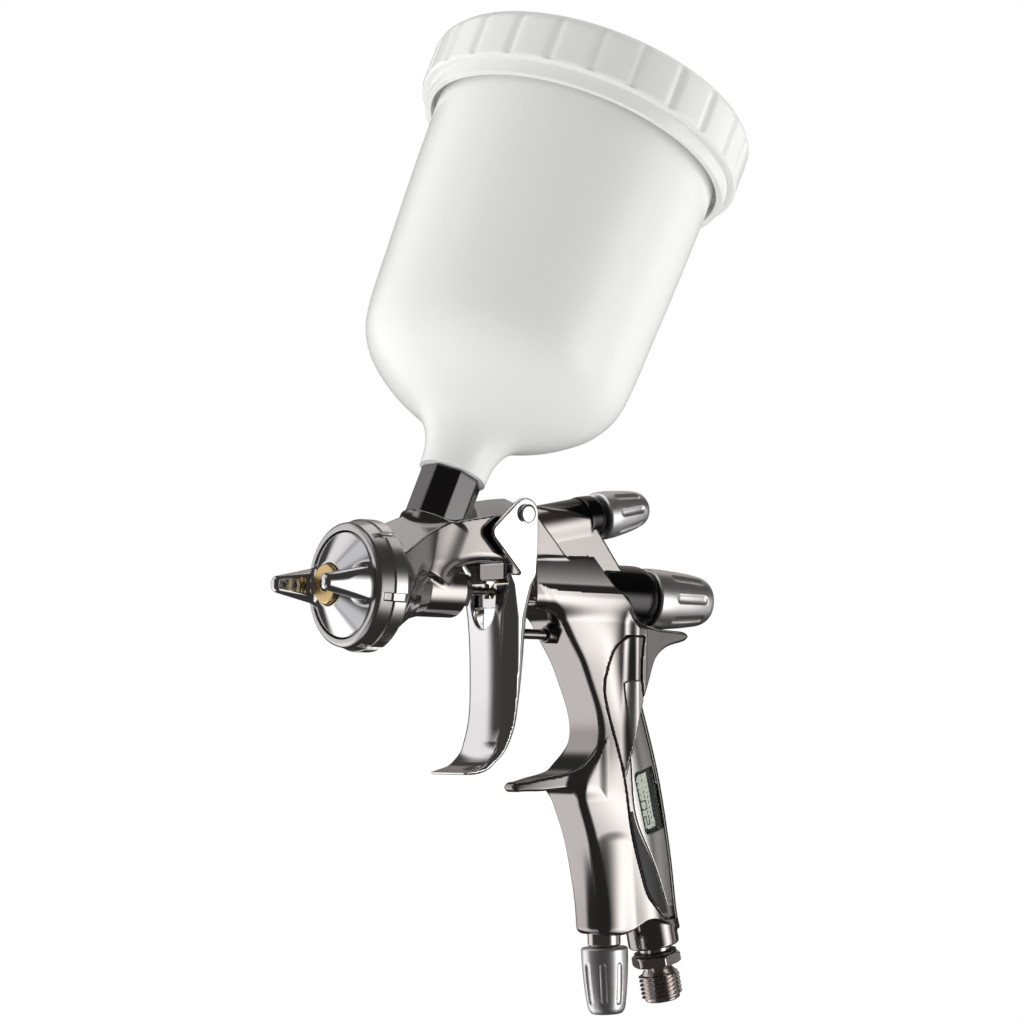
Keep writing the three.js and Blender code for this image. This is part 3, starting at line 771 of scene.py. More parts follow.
@dataclass
class Digits:
    """Two seven-bar figures and a point on the display, standing along the grip."""

    name: str = "display_digits"
    origin: tuple[float, float] = (59.7, -71.9)
    upward: tuple[float, float] = (-0.27, 0.963)
    height: float = 2.6
    width: float = 3.1
    bar: float = 0.36
    second: float = 4.9
    point: float = 3.85

    def bars(self) -> list[tuple[float, float, float, float]]:
        """Bars as (start along, start across, length along, length across), along the grip."""
        h, w, b = self.height, self.width, self.bar
        flat = {"top": (0, h, w, b), "middle": (0, h / 2, w, b), "bottom": (0, 0, w, b),
                "upper_left": (0, h / 2, b, h / 2), "upper_right": (w - b, h / 2, b, h / 2),
                "lower_left": (0, 0, b, h / 2), "lower_right": (w - b, 0, b, h / 2)}
        two = ("top", "upper_right", "middle", "lower_left", "bottom")
        nought = ("top", "upper_right", "lower_right", "bottom", "lower_left", "upper_left")
        laid = [flat[key] for key in two]
        laid += [(self.second + a, c, la, lc) for a, c, la, lc in (flat[key] for key in nought)]
        return laid + [(self.point, 0.0, 0.5, 0.5)]

    def build(self) -> bpy.types.Object:
        """Lays each bar as a thin patch just over the display: a four by two grid bent to the flank."""
        u = np.array([0.0, 0.33, 0.67, 1.0])
        points, quads = [], []
        for start, low, long, tall in self.bars():
            along, across = np.broadcast_arrays(start + u[:, None] * long, low + np.array([[0.0, tall]]))
            base = 8 * len(points)
            points.append(self.on_display(along.ravel(), across.ravel()))
            index = base + np.arange(8).reshape(4, 2)
            quads.append(np.stack([index[:-1, 0], index[1:, 0], index[1:, 1], index[:-1, 1]], -1))
        surface = Surface(np.vstack(points), np.vstack(quads), no_tris())
        normals = np.tile([0.37, -0.93, 0.0], (len(surface.points), 1))
        return make_piece(self.name, surface, normals)

    def on_display(self, along: Array, across: Array) -> Array:
        """Drops points onto the display: x and z from the two lengths, y by halving in on the sunk flank."""
        ux, uz = self.upward
        x = self.origin[0] + along * ux + (self.height - across) * uz
        z = self.origin[1] + along * uz - (self.height - across) * ux * 0.9
        low, high = np.full_like(x, 4.0), np.full_like(x, 12.0)
        for _ in range(30):
            middle = (low + high) / 2
            inside = GRIP.value(x, middle, z) + 0.86 < 0.0
            low, high = np.where(inside, middle, low), np.where(inside, high, middle)
        return np.stack([x, -low - 0.03, z], -1)


# ---------------------------------------------------------------- spray head


@dataclass
class AirCap(FieldSolid):
    """The polished cap: a shallow cone with two tapered horns, drilled towards the middle."""

    name: str = "air_cap_shell"
    low: tuple[float, float, float] = (-68.2, -17.0, -17.0)
    high: tuple[float, float, float] = (-44.0, 17.0, 17.0)
    step: float = 0.34
    bore: float = 6.4
    rim: float = 15.9

    def value(self, x: Array, y: Array, z: Array) -> Array:
        """Cone and skirt joined to the horns, less bore, hollow and the horns' air holes."""
        out = np.hypot(y, z)
        face = np.maximum(-57.2 - x, (-57.2 - x + 0.61 * (out - 6.9)) / 1.171)
        cone = round_max(face, out - self.rim, 0.5)
        side = side_of(y)
        lean = (x + 50.4) / -17.7
        horn = (np.hypot(side - 13.3 + 0.5 * lean, z) - (6.0 - 3.7 * lean)) * 0.97
        horn = round_max(horn, 13.3 - side - 4.4 + 2.6 * lean, 0.5)
        horn = round_max(round_max(horn, out - self.rim, 1.0), -68.1 - x, 1.2)
        cap = round_min(cone, np.maximum(horn, x + 49.0), 1.6)
        cap = np.maximum(cap, np.where(x < -49.8, cap, out - 16.8))
        cap = np.maximum(cap, x + 44.2)
        inner = np.maximum(out - 14.9, (-54.6 - x + 0.61 * (out - 6.9)) / 1.171)
        cap = np.maximum(cap, -np.minimum(inner, out - self.bore))
        for place in (-65.3, -61.6):
            hole = np.hypot(x - place - 0.36 * (side - 11.0), z) - 0.62
            cap = round_max(cap, -np.maximum(hole, side - 13.4), 0.12)
        return cap


@dataclass
class CapRing:
    """The ring that holds the air cap: satin cone in front, bright band behind, six grip notches."""

    notches: int = 6
    notch_half: float = 0.062
    notch_depth: float = 1.0
    turn: float = 0.21

    def build(self) -> bpy.types.Object:
        """Turned profile with the radius cut back by a flat-bottomed notch at each sixth of a turn."""
        profile = filled(eased([
            (17.25, -42.0), (17.25, -50.0, 0.1), (16.3, -50.0, 0.1), (16.3, -52.0, 0.2), (17.7, -52.0, 0.4),
            (18.6, -51.3, 0.4), (19.45, -46.9, 0.15), (19.9, -46.5, 0.15), (19.9, -42.1, 0.4),
            (18.4, -42.0, 0.2),
        ], True), 0.5, True)
        centres = (np.arange(self.notches) + 0.5) * 2 * np.pi / self.notches + self.turn
        edges = [centres + s * (self.notch_half + e) for s in (-1, 1) for e in (0.0, 0.006, 0.016, -0.01)]
        angles = np.unique(np.round(np.concatenate([full_turn(180), *edges]) % (2 * np.pi), 5))
        away = np.abs((angles[:, None] - centres + np.pi) % (2 * np.pi) - np.pi).min(1)
        across = np.clip((self.notch_half + 0.006 - away) / 0.006, 0.0, 1.0)
        radius, height = profile[:, :1], profile[:, 1:]
        along = np.clip((height + 49.9) / 0.35, 0.0, 1.0) * (radius > 18.2)
        radius = radius - self.notch_depth * across[None, :] * along
        height = np.broadcast_to(height, radius.shape)
        return make_piece("cap_ring_shell", turned_surface(SPRAY, radius, height, angles))


@dataclass
class SprayHead:
    """Air cap, its brass insert, the ring and the nozzle."""

    cap: AirCap
    ring: CapRing

    def build(self, shop: "FinishShop") -> None:
        """Makes the pieces, dresses them and seats them on their bodies."""
        seat(self.cap.build(), "air_cap", shop.cap_chrome, "air_cap")
        seat(self.ring.build(), "cap_ring", shop.ring_nickel, "air_cap_ring")
        insert = turned_piece("air_cap_centre", SPRAY, [
            (2.15, -58.5, 0.1), (2.5, -58.75, 0.1), (5.6, -58.75, 0.3), (6.12, -58.2, 0.2), (6.12, -54.9),
            (4.4, -54.9), (4.0, -57.0), (2.15, -57.4)], True)
        seat(insert, "air_cap", shop.brass, "air_cap_insert")
        nozzle = turned_piece("nozzle_tip", SPRAY, [
            (0.8, -58.9, 0.1), (1.55, -58.9, 0.15), (2.0, -56.6), (5.0, -54.3), (7.0, -52.6), (7.0, -45.2),
            (6.1, -45.0), (6.1, -33.4), (2.6, -33.4), (2.6, -50.0), (1.7, -54.5), (0.8, -57.5)], True, 64)
        seat(nozzle, "gun", shop.dark_steel, "fluid_nozzle")


# ---------------------------------------------------------------- cup and neck


@dataclass
class CupNeck:
    """The eight-sided neck that the cup screws into."""

    half: float = 9.05
    height: float = 16.0

    def build(self) -> bpy.types.Object:
        """Radius half / cos(angle from the flat's middle), with each corner cut back to a small round."""
        profile = filled(eased([(6.9, 0.0), (6.9, -12.0), (4.0, -12.0), (4.0, -24.0), (7.6, -24.0),
                                (7.6, -16.6), (9.8, -16.6, 0.05), (9.8, 0.0, 0.7)], True), 0.7, True)
        flats = 8
        step = 2 * np.pi / flats
        offsets = np.array([-0.5, -0.47, -0.43, -0.38, -0.3, -0.15, 0.0, 0.15, 0.3, 0.38, 0.43, 0.47]) * step
        angles = ((np.arange(flats) * step)[:, None] + offsets).ravel() % (2 * np.pi)
        angles = np.unique(np.round(angles, 6))
        away = (angles + step / 2) % step - step / 2
        flat_radius = self.half / np.cos(away)
        limit = self.half / np.cos(step / 2) - 0.16
        shape = np.minimum(flat_radius, limit + 0.12 * (flat_radius - limit))
        radius = profile[:, :1] * np.ones((1, len(angles)))
        outer = profile[:, :1] > 8.0
        radius = np.where(outer, radius - 9.8 + shape[None, :], radius)
        height = np.broadcast_to(profile[:, 1:], radius.shape)
        return make_piece("neck", turned_surface(CUP_AXIS, radius, height, angles))


@dataclass
class PaintCup:
    """The milky cup: a spout, a dished shoulder and a tall, slightly flared wall."""

    wall: float = 1.6

    def outside(self) -> Array:
        """Outer profile: smooth splines of radius over the height from the spout to the rim."""
        dish = Spline([(0.0, 10.6), (6.0, 11.0), (10.5, 12.4), (13.5, 14.2), (16.2, 17.2), (19.0, 22.4),
                       (22.0, 27.7), (25.4, 32.4), (29.2, 36.7), (33.0, 39.6), (37.0, 41.5), (42.0, 42.6),
                       (54.0, 43.5), (80.0, 44.8), (100.0, 45.6), (118.0, 46.0)])
        height = np.unique(np.concatenate([np.linspace(0.4, 46, 70), np.linspace(46, 118, 24)]))
        return np.stack([dish(height), height], -1)

    def build(self) -> bpy.types.Object:
        """Outer profile up, rim, inner profile down a wall inside it, then the spout's thread."""
        outer = self.outside()
        inner = outer[outer[:, 1] > 12.0][::-1]
        slope = np.gradient(inner[:, 0], inner[:, 1])
        inward = np.stack([-np.ones_like(slope), slope], -1)
        inner = inner + self.wall * inward / np.hypot(1.0, slope)[:, None]
        rim = np.array([[45.9, 118.4], [45.4, 118.7], [44.9, 118.6]])
        spout = np.array([[6.0, 11.5], [4.9, 5.0], [4.9, -10.9], [6.5, -10.9], [6.6, 0.2], [10.3, 0.3]])
        profile = np.vstack([outer, rim, inner[inner[:, 1] < 118.0], spout])
        count = 144
        radius, height = carried_round(profile, count)
        return make_piece("cup_shell", turned_surface(CUP_AXIS, radius, height, full_turn(count)))


@dataclass
class CupLid:
    """The screwed lid: a band with broad ribs round a sunk top."""

    ribs: int = 24
    rib_depth: float = 0.9

    def build(self) -> bpy.types.Object:
        """Turned profile whose band dips at each rib's edge by depth times a narrow bell of the angle."""
        profile = filled(eased([
            (2.4, 128.7), (43.6, 128.7, 1.0), (43.6, 113.0), (44.0, 113.0), (44.2, 119.0), (47.6, 119.0),
            (47.6, 114.0), (49.6, 114.0), (50.0, 118.6, 0.3), (52.0, 118.6, 0.5), (52.5, 119.6, 0.4),
            (52.6, 132.9, 1.2), (50.2, 135.75, 1.4), (47.4, 135.5, 0.8), (45.6, 133.0, 0.8),
            (45.0, 130.6, 0.8), (2.4, 130.5),
        ], True), 1.2, True)
        count = self.ribs * 16
        angles = full_turn(count)
        phase = (angles * self.ribs / (2 * np.pi)) % 1.0
        groove = np.exp(-((phase - 0.5) / 0.09) ** 2)
        radius, height = profile[:, :1], profile[:, 1:]
        band = np.clip((radius - 51.0) / 1.0, 0.0, 1.0) * np.clip((height - 119.0) / 0.8, 0.0, 1.0)
        radius = radius - self.rib_depth * groove[None, :] * band
        height = np.broadcast_to(height, radius.shape)
        return make_piece("lid_shell", turned_surface(CUP_AXIS, radius, height, angles))


@dataclass
class CupAssembly:
    """Neck, cup, lid and vent plug."""

    neck: CupNeck
    cup: PaintCup
    lid: CupLid

    def build(self, shop: "FinishShop") -> None:
        """Makes the pieces, dresses them and seats them on their bodies."""
        seat(self.neck.build(), "gun", shop.black_chrome, "cup_joint")
        seat(self.cup.build(), "cup", shop.cup_plastic, "paint_cup")
        seat(self.lid.build(), "lid", shop.cup_plastic, "cup_lid")
        plug = turned_piece("vent_plug", CUP_AXIS, [
            (0.0, 126.9), (2.0, 126.9), (2.0, 130.9, 0.1), (4.0, 130.9, 0.3), (4.0, 132.5, 0.4), (1.4, 132.5),
            (0.9, 132.1), (0.0, 132.1)], False, 48)
        seat(plug, "vent_plug", shop.cup_plastic, "lid_vent_plug")


# ---------------------------------------------------------------- knobs and fittings


@dataclass
class Knob:
    """A tapered knob with oblong finger grooves and a fine bevel at each end."""

    name: str
    axis: Axis
    start: float
    corners: tuple[tuple[float, ...], ...]
    groove_from: float
    groove_to: float
    grooves: int = 8
    groove_half: float = 1.25
    groove_depth: float = 0.5

    def build(self) -> bpy.types.Object:
        """Turned profile less round-ended grooves: depth falls as one less the square of the way out."""
        profile = filled(eased(list(self.corners), False), 0.35, False)
        count = self.grooves * 26
        angles = (np.arange(count) + 0.5) * 2 * np.pi / count
        pitch = 2 * np.pi / self.grooves
        radius, height = carried_round(profile, count)
        across = ((angles[None, :] + pitch / 2) % pitch - pitch / 2) * radius
        middle, reach = (self.groove_from + self.groove_to) / 2, abs(self.groove_to - self.groove_from) / 2
        beyond = np.maximum(np.abs(height - middle) - reach + self.groove_half, 0.0)
        out = np.hypot(across, beyond) / self.groove_half
        skin = np.gradient(profile[:, 0])[:, None]
        outer = (np.abs(skin) < 0.3) & (profile[:, :1] > 4.0)
        radius = radius - self.groove_depth * np.clip(1.0 - out**2, 0.0, 1.0) ** 0.75 * outer
        return make_piece(self.name, turned_surface(self.axis, radius, height + self.start, angles))


@dataclass
class Controls:
    """Fluid, pattern and air knobs with the housings they turn in; the needle and pattern housings wear black
    chrome darkened as painted shade.
    """

    def flatten_under(self, piece: bpy.types.Object, rear: float, floor: float) -> None:
        """Levels a piece's underside, so that it is clear of the air valve's stem and spring below it.

        Args:
            piece: the piece.
            rear: points ahead of this x in millimetres are levelled.
            floor: none of them stays below this z in millimetres.
        """
        mesh = piece.data
        points = np.empty(len(mesh.vertices) * 3)
        mesh.vertices.foreach_get("co", points)
        points = points.reshape(-1, 3)
        ahead = points[:, 0] < (rear - GRIP_CENTRE[0]) / 1000.0
        points[ahead, 2] = np.maximum(points[ahead, 2], (floor - GRIP_CENTRE[1]) / 1000.0)
        mesh.vertices.foreach_set("co", points.ravel())
        mesh.update()

    def knobs(self) -> dict[str, Knob]:
        """The three knobs by name."""
        fluid = Knob("fluid_grip", SPRAY, 64.95, (
            (0.0, 12.0), (4.5, 12.0), (4.5, 0.0, 0.2), (9.3, 0.0, 0.3), (9.8, 0.5, 0.3), (9.8, 5.0, 3.0),
            (8.9, 16.5, 6.0), (7.9, 22.6, 1.0), (7.0, 24.4, 0.6), (0.0, 24.6)), 6.6, 20.6, 8, 1.5, 0.55)
        pattern = Knob("pattern_grip", PATTERN_AXIS, 0.0, (
            (0.0, 11.0), (2.6, 11.0), (2.6, 0.0, 0.1), (7.2, 0.0, 0.3), (7.6, 0.5, 0.3), (7.6, 4.6, 2.5),
            (6.6, 12.6, 4.0), (5.4, 17.2, 1.2), (4.2, 18.6, 0.6), (0.0, 18.8)), 4.2, 15.2, 8, 1.2, 0.5)
        downward = Axis(AIR_KNOB_AXIS.x, AIR_KNOB_AXIS.z, -AIR_KNOB_AXIS.dx, -AIR_KNOB_AXIS.dz)
        air = Knob("air_grip", downward, 0.0, (
            (0.0, 11.0), (2.3, 11.0), (2.3, 0.0, 0.1), (7.0, 0.0, 0.3), (7.4, 0.5, 0.3), (7.3, 6.5, 3.0),
            (6.6, 15.0, 4.0), (5.8, 19.4, 0.9), (4.8, 20.8, 0.6), (0.0, 21.0)), 4.4, 17.8, 8, 1.15, 0.5)
        return {"fluid_knob": fluid, "pattern_knob": pattern, "air_control_knob": air}

    def build(self, shop: "FinishShop") -> None:
        """Makes knobs, collars and sleeves, dresses them and seats them."""
        bodies = {"fluid_knob": "fluid_knob", "pattern_knob": "pattern_knob",
                  "air_control_knob": "air_knob"}
        for node, maker in self.knobs().items():
            seat(maker.build(), bodies[node], shop.knob_aluminium, node)
        # needle collar, pattern collar and sleeve take the black chrome darkened as painted shade
        collar = turned_piece("needle_collar", SPRAY, [
            (5.0, 36.6), (8.0, 36.6), (8.0, 44.0), (10.3, 44.0), (10.35, 60.6, 1.6), (9.6, 63.3, 1.2),
            (8.6, 64.3, 0.3), (4.7, 64.3), (4.7, 56.4), (5.0, 56.2)], True)
        self.flatten_under(collar, 50.5, -7.9)
        seat(collar, "gun", shop.dark_sleeve, "needle_housing")
        cuff = turned_piece("pattern_collar", PATTERN_AXIS, [
            (2.7, -19.6), (4.8, -19.6), (4.8, -7.9), (7.15, -7.9, 0.3), (7.25, -7.0, 0.3), (7.1, -2.6, 1.0),
            (6.0, -0.7, 0.5), (2.7, -0.7)], True)
        seat(cuff, "gun", shop.dark_sleeve, "pattern_valve_housing")
        gland = turned_piece("valve_gland", AIR_VALVE_AXIS, [
            (1.9, 25.0), (2.4, 25.0, 0.2), (2.7, 25.4, 0.2), (2.7, 31.6), (1.9, 31.6)], True, 48)
        seat(gland, "gun", shop.dark_steel, "air_valve_guide")
        sleeve = turned_piece("pattern_sleeve", PATTERN_AXIS, [
            (6.2, -31.5), (6.82, -31.0, 0.4), (6.92, -8.6, 0.3), (6.6, -8.15, 0.2), (6.2, -8.15)], True, 128)
        seat(sleeve, "gun", shop.dark_sleeve)
        throat = turned_piece("air_collar", AIR_KNOB_AXIS, [
            (2.3, 0.4), (4.8, 0.4, 0.2), (5.2, 0.9, 0.2), (5.2, 5.7, 0.2), (4.6, 5.9), (4.6, 18.0),
            (2.3, 18.0),
        ], True)
        seat(throat, "gun", shop.inlet_nickel, "air_control_housing")


@dataclass
class AirInlet:
    """The threaded inlet: hexagon, neck, helical thread and a bevelled tip with its bore."""

    crest: float = 6.55
    root: float = 5.65
    pitch: float = 1.34

    def build(self) -> bpy.types.Object:
        """Radius root + (crest - root) x triangle wave of (height / pitch - angle), faded at both ends."""
        count = 96
        angles = full_turn(count)
        rows = 118
        thread = np.linspace(3.2, -4.4, rows)
        outer = np.vstack([
            [[5.0, 21.8], [5.0, 9.2]], [[4.6, 7.2], [4.55, 6.0], [4.5, 4.6]],
            np.stack([np.full(rows, self.crest), thread], -1),
            [[5.55, -4.9], [5.5, -5.3], [5.1, -5.6], [3.6, -5.6], [3.4, -5.3], [3.4, 0.0], [3.4, 21.8]]])
        radius, height = carried_round(outer, count)
        wave = (height / self.pitch - angles[None, :] / (2 * np.pi)) % 1.0
        tooth = np.clip(1.25 - 2.9 * np.abs(wave - 0.5), 0.0, 1.0)
        fade = np.clip((3.4 - height) / 0.5, 0.0, 1.0) * np.clip((height + 4.6) / 0.5, 0.0, 1.0)
        cut = self.root - 0.5 * (1 - fade) + (self.crest - self.root) * tooth * fade
        radius = np.where(outer[:, :1] == self.crest, cut, radius)
        return make_piece("inlet_thread", turned_surface(INLET_AXIS, radius, height, angles))

    def hexagon(self) -> bpy.types.Object:
        """Six flats, radius half / cos(angle), kept under a cone that bevels the corners at both faces."""
        profile = filled(eased([
            (4.2, 5.9), (6.4, 5.9, 0.2), (7.9, 6.0, 0.1), (7.9, 9.2, 0.1), (6.4, 9.3, 0.2), (4.2, 9.3),
        ], True), 0.22, True)
        count = 180
        angles = full_turn(count)
        away = (angles + np.pi / 6 + 0.35) % (np.pi / 3) - np.pi / 6
        flat = 6.95 / np.cos(away)
        radius, height = carried_round(profile, count)
        bevel = 7.1 + 1.6 * np.minimum(height - 5.9, 9.3 - height)
        radius = np.minimum(np.minimum(radius, flat[None, :]), bevel)
        return make_piece("inlet_hexagon", turned_surface(INLET_AXIS, radius, height, angles))

    def dress(self, shop: "FinishShop") -> None:
        """Makes both pieces and seats them."""
        seat(self.build(), "gun", shop.inlet_nickel, "air_inlet_fitting")
        seat(self.hexagon(), "gun", shop.inlet_nickel)


# ---------------------------------------------------------------- trigger


@dataclass
class Trigger(FieldSolid):
    """The trigger: a folded channel with a broad rounded web, a curled lip and two cheeks to the pivot."""

    name: str = "trigger_shell"
    low: tuple[float, float, float] = (-12.7, -13.0, -56.4)
    high: tuple[float, float, float] = (12.1, 13.0, 28.7)
    step: float = 0.42
    plate: float = 1.6
    web: Spline = Spline([(-56.2, -14.5), (-55.2, -11.5), (-54, -7.0), (-52, -3.2), (-50, -1.0), (-46, 1.1),
                          (-42, 2.2), (-36, 2.9), (-28, 3.0), (-18, 2.8), (-8, 2.2), (0, 1.5), (6, 1.0)])
    rear: Spline = Spline([(-56.4, -9.5), (-55.4, -5.2), (-53.4, -1.6), (-50.5, 1.8), (-46, 5.0),
                           (-41.5, 6.9), (-33, 8.6), (-26, 9.4), (-12, 10.2), (0, 10.8), (10, 11.6),
                           (24, 11.9)])
    half: Spline = Spline([(-56, 9.2), (-52, 10.2), (-45, 10.9), (-30, 11.2), (-14, 11.6), (-2, 12.5),
                           (6, 13.0), (28, 13.0)])

    def side_view(self, x: Array, side: Array, z: Array) -> Array:
        """Field of the cheek's outline: web line and notch in front, pivot round on top, rear line."""
        web = (self.web(z) - self.crown(side, z) - x) / np.hypot(1.0, self.web.slope(z))
        lower = np.maximum(web, z - 5.2)
        fork = np.maximum((x - 3.0) * -0.707 + (z - 7.8) * -0.707, 4.8 - z)
        nose = (x + 7.2) * -0.669 + (z - 17.6) * 0.743
        fork = round_max(fork, nose, 3.0)
        fork = np.maximum(fork, -7.4 - x)
        pivot_x, pivot_z = PIVOT
        boss = np.hypot(x - pivot_x, z - pivot_z) - 4.9
        before = (x - pivot_x) * 0.743 + (z - pivot_z) * 0.669
        top = np.maximum(fork, np.minimum(before, z - pivot_z))
        plate = np.maximum(round_min(lower, top, 1.0), -self.rear.short_of(z, x))
        lip = round_max(-56.1 - z, -12.3 - x, 0.6)
        return np.minimum(round_max(plate, lip, 0.4), boss)

    def crown(self, side: Array, z: Array) -> Array:
        """How far the web bulges forward: most in the middle, none at the cheeks, the lip or the top."""
        share = np.interp(z, [-55.0, -46.0, -4.0, 5.0], [0.0, 1.0, 1.0, 0.0])
        return 0.016 * np.maximum(121.0 - side**2, 0.0) * share

    def value(self, x: Array, y: Array, z: Array) -> Array:
        """Outer block with round corners less the channel behind the web and the window above it."""
        side = side_of(y)
        outline = self.side_view(x, side, z)
        half = self.half(z)
        corner = np.interp(z, [-56.0, -48.0, -36.0, -8.0, 2.0, 5.0], [1.2, 3.0, 4.2, 4.2, 2.4, 0.5])
        block = round_max(outline, side - half, corner)
        lean = np.hypot(1.0, self.web.slope(z))
        behind = (self.web(z) - self.crown(side, z) + 1.9 * lean - x) / lean
        hollow = round_max(behind, side - half + self.plate, np.maximum(corner - 1.9, 0.3))
        hollow = np.maximum(hollow, -z - 52.5)
        above = np.maximum(2.0 - z, side - half + self.plate)
        dip = np.hypot(y * 0.9, np.minimum(z + 3.0, 0.0) * 0.62) - 5.4
        block = round_max(block, -round_min(hollow, np.minimum(above, dip), 0.6), 0.35)
        yoke = np.maximum(np.maximum(np.abs(x - 4.0) - 0.9, side - half + 0.9), np.abs(z + 1.2) - 3.8)
        yoke = np.maximum(yoke, -np.maximum(side - 2.1, -2.0 - z))
        block = np.minimum(block, yoke)
        return np.maximum(block, 2.7 - np.hypot(x - PIVOT[0], z - PIVOT[1]))


@dataclass
class TriggerAssembly:
    """Trigger with its pivot stud and screw."""

    lever: Trigger

    def build(self, shop: "FinishShop") -> None:
        """Makes the pieces, dresses them and seats them."""
        seat(self.lever.build(), "trigger", shop.trigger_chrome, "trigger")
        for name, node, facing, inner in (("pivot_head", "trigger_pivot_screw", -1.0, 3.0),
                                          ("pivot_stud", "trigger_pivot_stud", 1.0, -1.0)):
            corners = [(0.0, inner), (1.6, inner), (1.6, 13.1), (2.92, 13.15, 0.1), (2.95, 14.2, 0.35),
                       (2.2, 14.4, 0.3), (0.0, 14.4)]
            seat(turned_across(name, PIVOT, facing, corners), "gun", shop.trigger_chrome, node)


# ---------------------------------------------------------------- finishes


class Board:
    """Puts nodes on a tree and joins them."""

    def __init__(self, tree: bpy.types.NodeTree) -> None:
        """Keeps the tree."""
        self.tree = tree

    def add(self, kind: str, inputs: dict | None = None, **settings: object) -> bpy.types.Node:
        """Adds a node.

        Args:
            kind: node type.
            inputs: socket name or number against a value, or against a socket to join.
            settings: properties of the node.

        Returns:
            The node.
        """
        node = self.tree.nodes.new(kind)
        for key, value in settings.items():
            setattr(node, key, value)
        for key, value in (inputs or {}).items():
            if isinstance(value, bpy.types.NodeSocket):
                self.tree.links.new(value, node.inputs[key])
            else:
                node.inputs[key].default_value = value
        return node

    def math(self, operation: str, *values: object) -> bpy.types.NodeSocket:
        """A Math node's result for values or sockets."""
        return self.add("ShaderNodeMath", dict(enumerate(values)), operation=operation).outputs[0]

    def step(self, value: bpy.types.NodeSocket, low: float, high: float) -> bpy.types.NodeSocket:
        """Nought below low rising smoothly to one above high; low may be the larger."""
        node = self.add("ShaderNodeMapRange", {"Value": value, "From Min": low, "From Max": high},
                        interpolation_type="SMOOTHSTEP")
        return node.outputs[0]


class Effect(Enum):
    """Shared effects, each a node group."""

    MARKS = "soft_marks"
    LINES = "lathe_lines"
    GRAIN = "moulded_grain"


def effect_group(effect: Effect) -> bpy.types.NodeTree:
    """Makes a shared effect: every one takes coordinates and gives a value between two ends, and a height.

    Args:
        effect: which one.

    Returns:
        The group.
    """
    group = bpy.data.node_groups.new(effect.value, "ShaderNodeTree")
    for name, kind in (("Coordinates", "NodeSocketVector"), ("Axis", "NodeSocketVector"),
                       ("Scale", "NodeSocketFloat"), ("Low", "NodeSocketFloat"), ("High", "NodeSocketFloat")):
        group.interface.new_socket(name, in_out="INPUT", socket_type=kind)
    for name in ("Value", "Height"):
        group.interface.new_socket(name, in_out="OUTPUT", socket_type="NodeSocketFloat")
    board = Board(group)
    given = board.add("NodeGroupInput").outputs
    if effect is Effect.LINES:
        along = board.add("ShaderNodeVectorMath", {0: given["Coordinates"], 1: given["Axis"]},
                          operation="DOT_PRODUCT").outputs["Value"]
        noise = board.add("ShaderNodeTexNoise", {"W": along, "Scale": given["Scale"], "Detail": 2.0},
                          noise_dimensions="1D").outputs["Fac"]
    elif effect is Effect.MARKS:
        noise = board.add("ShaderNodeTexNoise", {"Vector": given["Coordinates"], "Scale": given["Scale"],
                                                 "Detail": 4.0, "Roughness": 0.55}).outputs["Fac"]
    else:
        noise = board.add("ShaderNodeTexNoise", {"Vector": given["Coordinates"], "Scale": given["Scale"],
                                                 "Detail": 1.0}).outputs["Fac"]
    spread = board.add("ShaderNodeMapRange", {"Value": noise, "From Min": 0.3, "From Max": 0.7,
                                              "To Min": given["Low"], "To Max": given["High"]}).outputs[0]
    board.add("NodeGroupOutput", {"Value": spread, "Height": noise})
    return group


PLASTIC_IOR = 1.5


@dataclass(frozen=True)
class Finish:
    """A material and the record's slot it fills."""

    slot: str
    material: bpy.types.Material


@dataclass(frozen=True)
class Look:
    """What one finish is like: colour, shine and the effect that varies its roughness and height."""

    name: str
    slot: str
    colour: tuple[float, float, float]
    metallic: float = 1.0
    roughness: tuple[float, float] = (0.1, 0.16)
    effect: Effect = Effect.MARKS
    scale: float = 60.0
    axis: tuple[float, float, float] = (0.0, 0.0, 1.0)
    bump: float = 0.0
    alpha: float = 1.0
    specular: float = 0.5

    def make(self, groups: dict[Effect, bpy.types.NodeTree]) -> Finish:
        """Builds the material: one Principled shader, its roughness and bump from the effect.

        Args:
            groups: the effects' node groups.

        Returns:
            The finish.
        """
        material = bpy.data.materials.new(self.name)
        material.use_nodes = True
        material.diffuse_color = (*self.colour, 1.0)
        board = Board(material.node_tree)
        shader = material.node_tree.nodes["Principled BSDF"]
        for key, value in (("Base Color", (*self.colour, 1.0)), ("Metallic", self.metallic),
                           ("IOR", PLASTIC_IOR), ("Alpha", self.alpha),
                           ("Specular IOR Level", self.specular)):
            shader.inputs[key].default_value = value
        place = board.add("ShaderNodeTexCoord").outputs["Object"]
        low, high = self.roughness
        marks = board.add("ShaderNodeGroup", node_tree=groups[self.effect])
        board.tree.links.new(place, marks.inputs["Coordinates"])
        for key, value in (("Axis", self.axis), ("Scale", self.scale), ("Low", low), ("High", high)):
            marks.inputs[key].default_value = value
        board.tree.links.new(marks.outputs["Value"], shader.inputs["Roughness"])
        if self.bump > 0.0:
            bump = board.add("ShaderNodeBump", {"Height": marks.outputs["Height"],
                                                "Distance": self.bump * 0.001})
            board.tree.links.new(bump.outputs["Normal"], shader.inputs["Normal"])
        return Finish(self.slot, material)


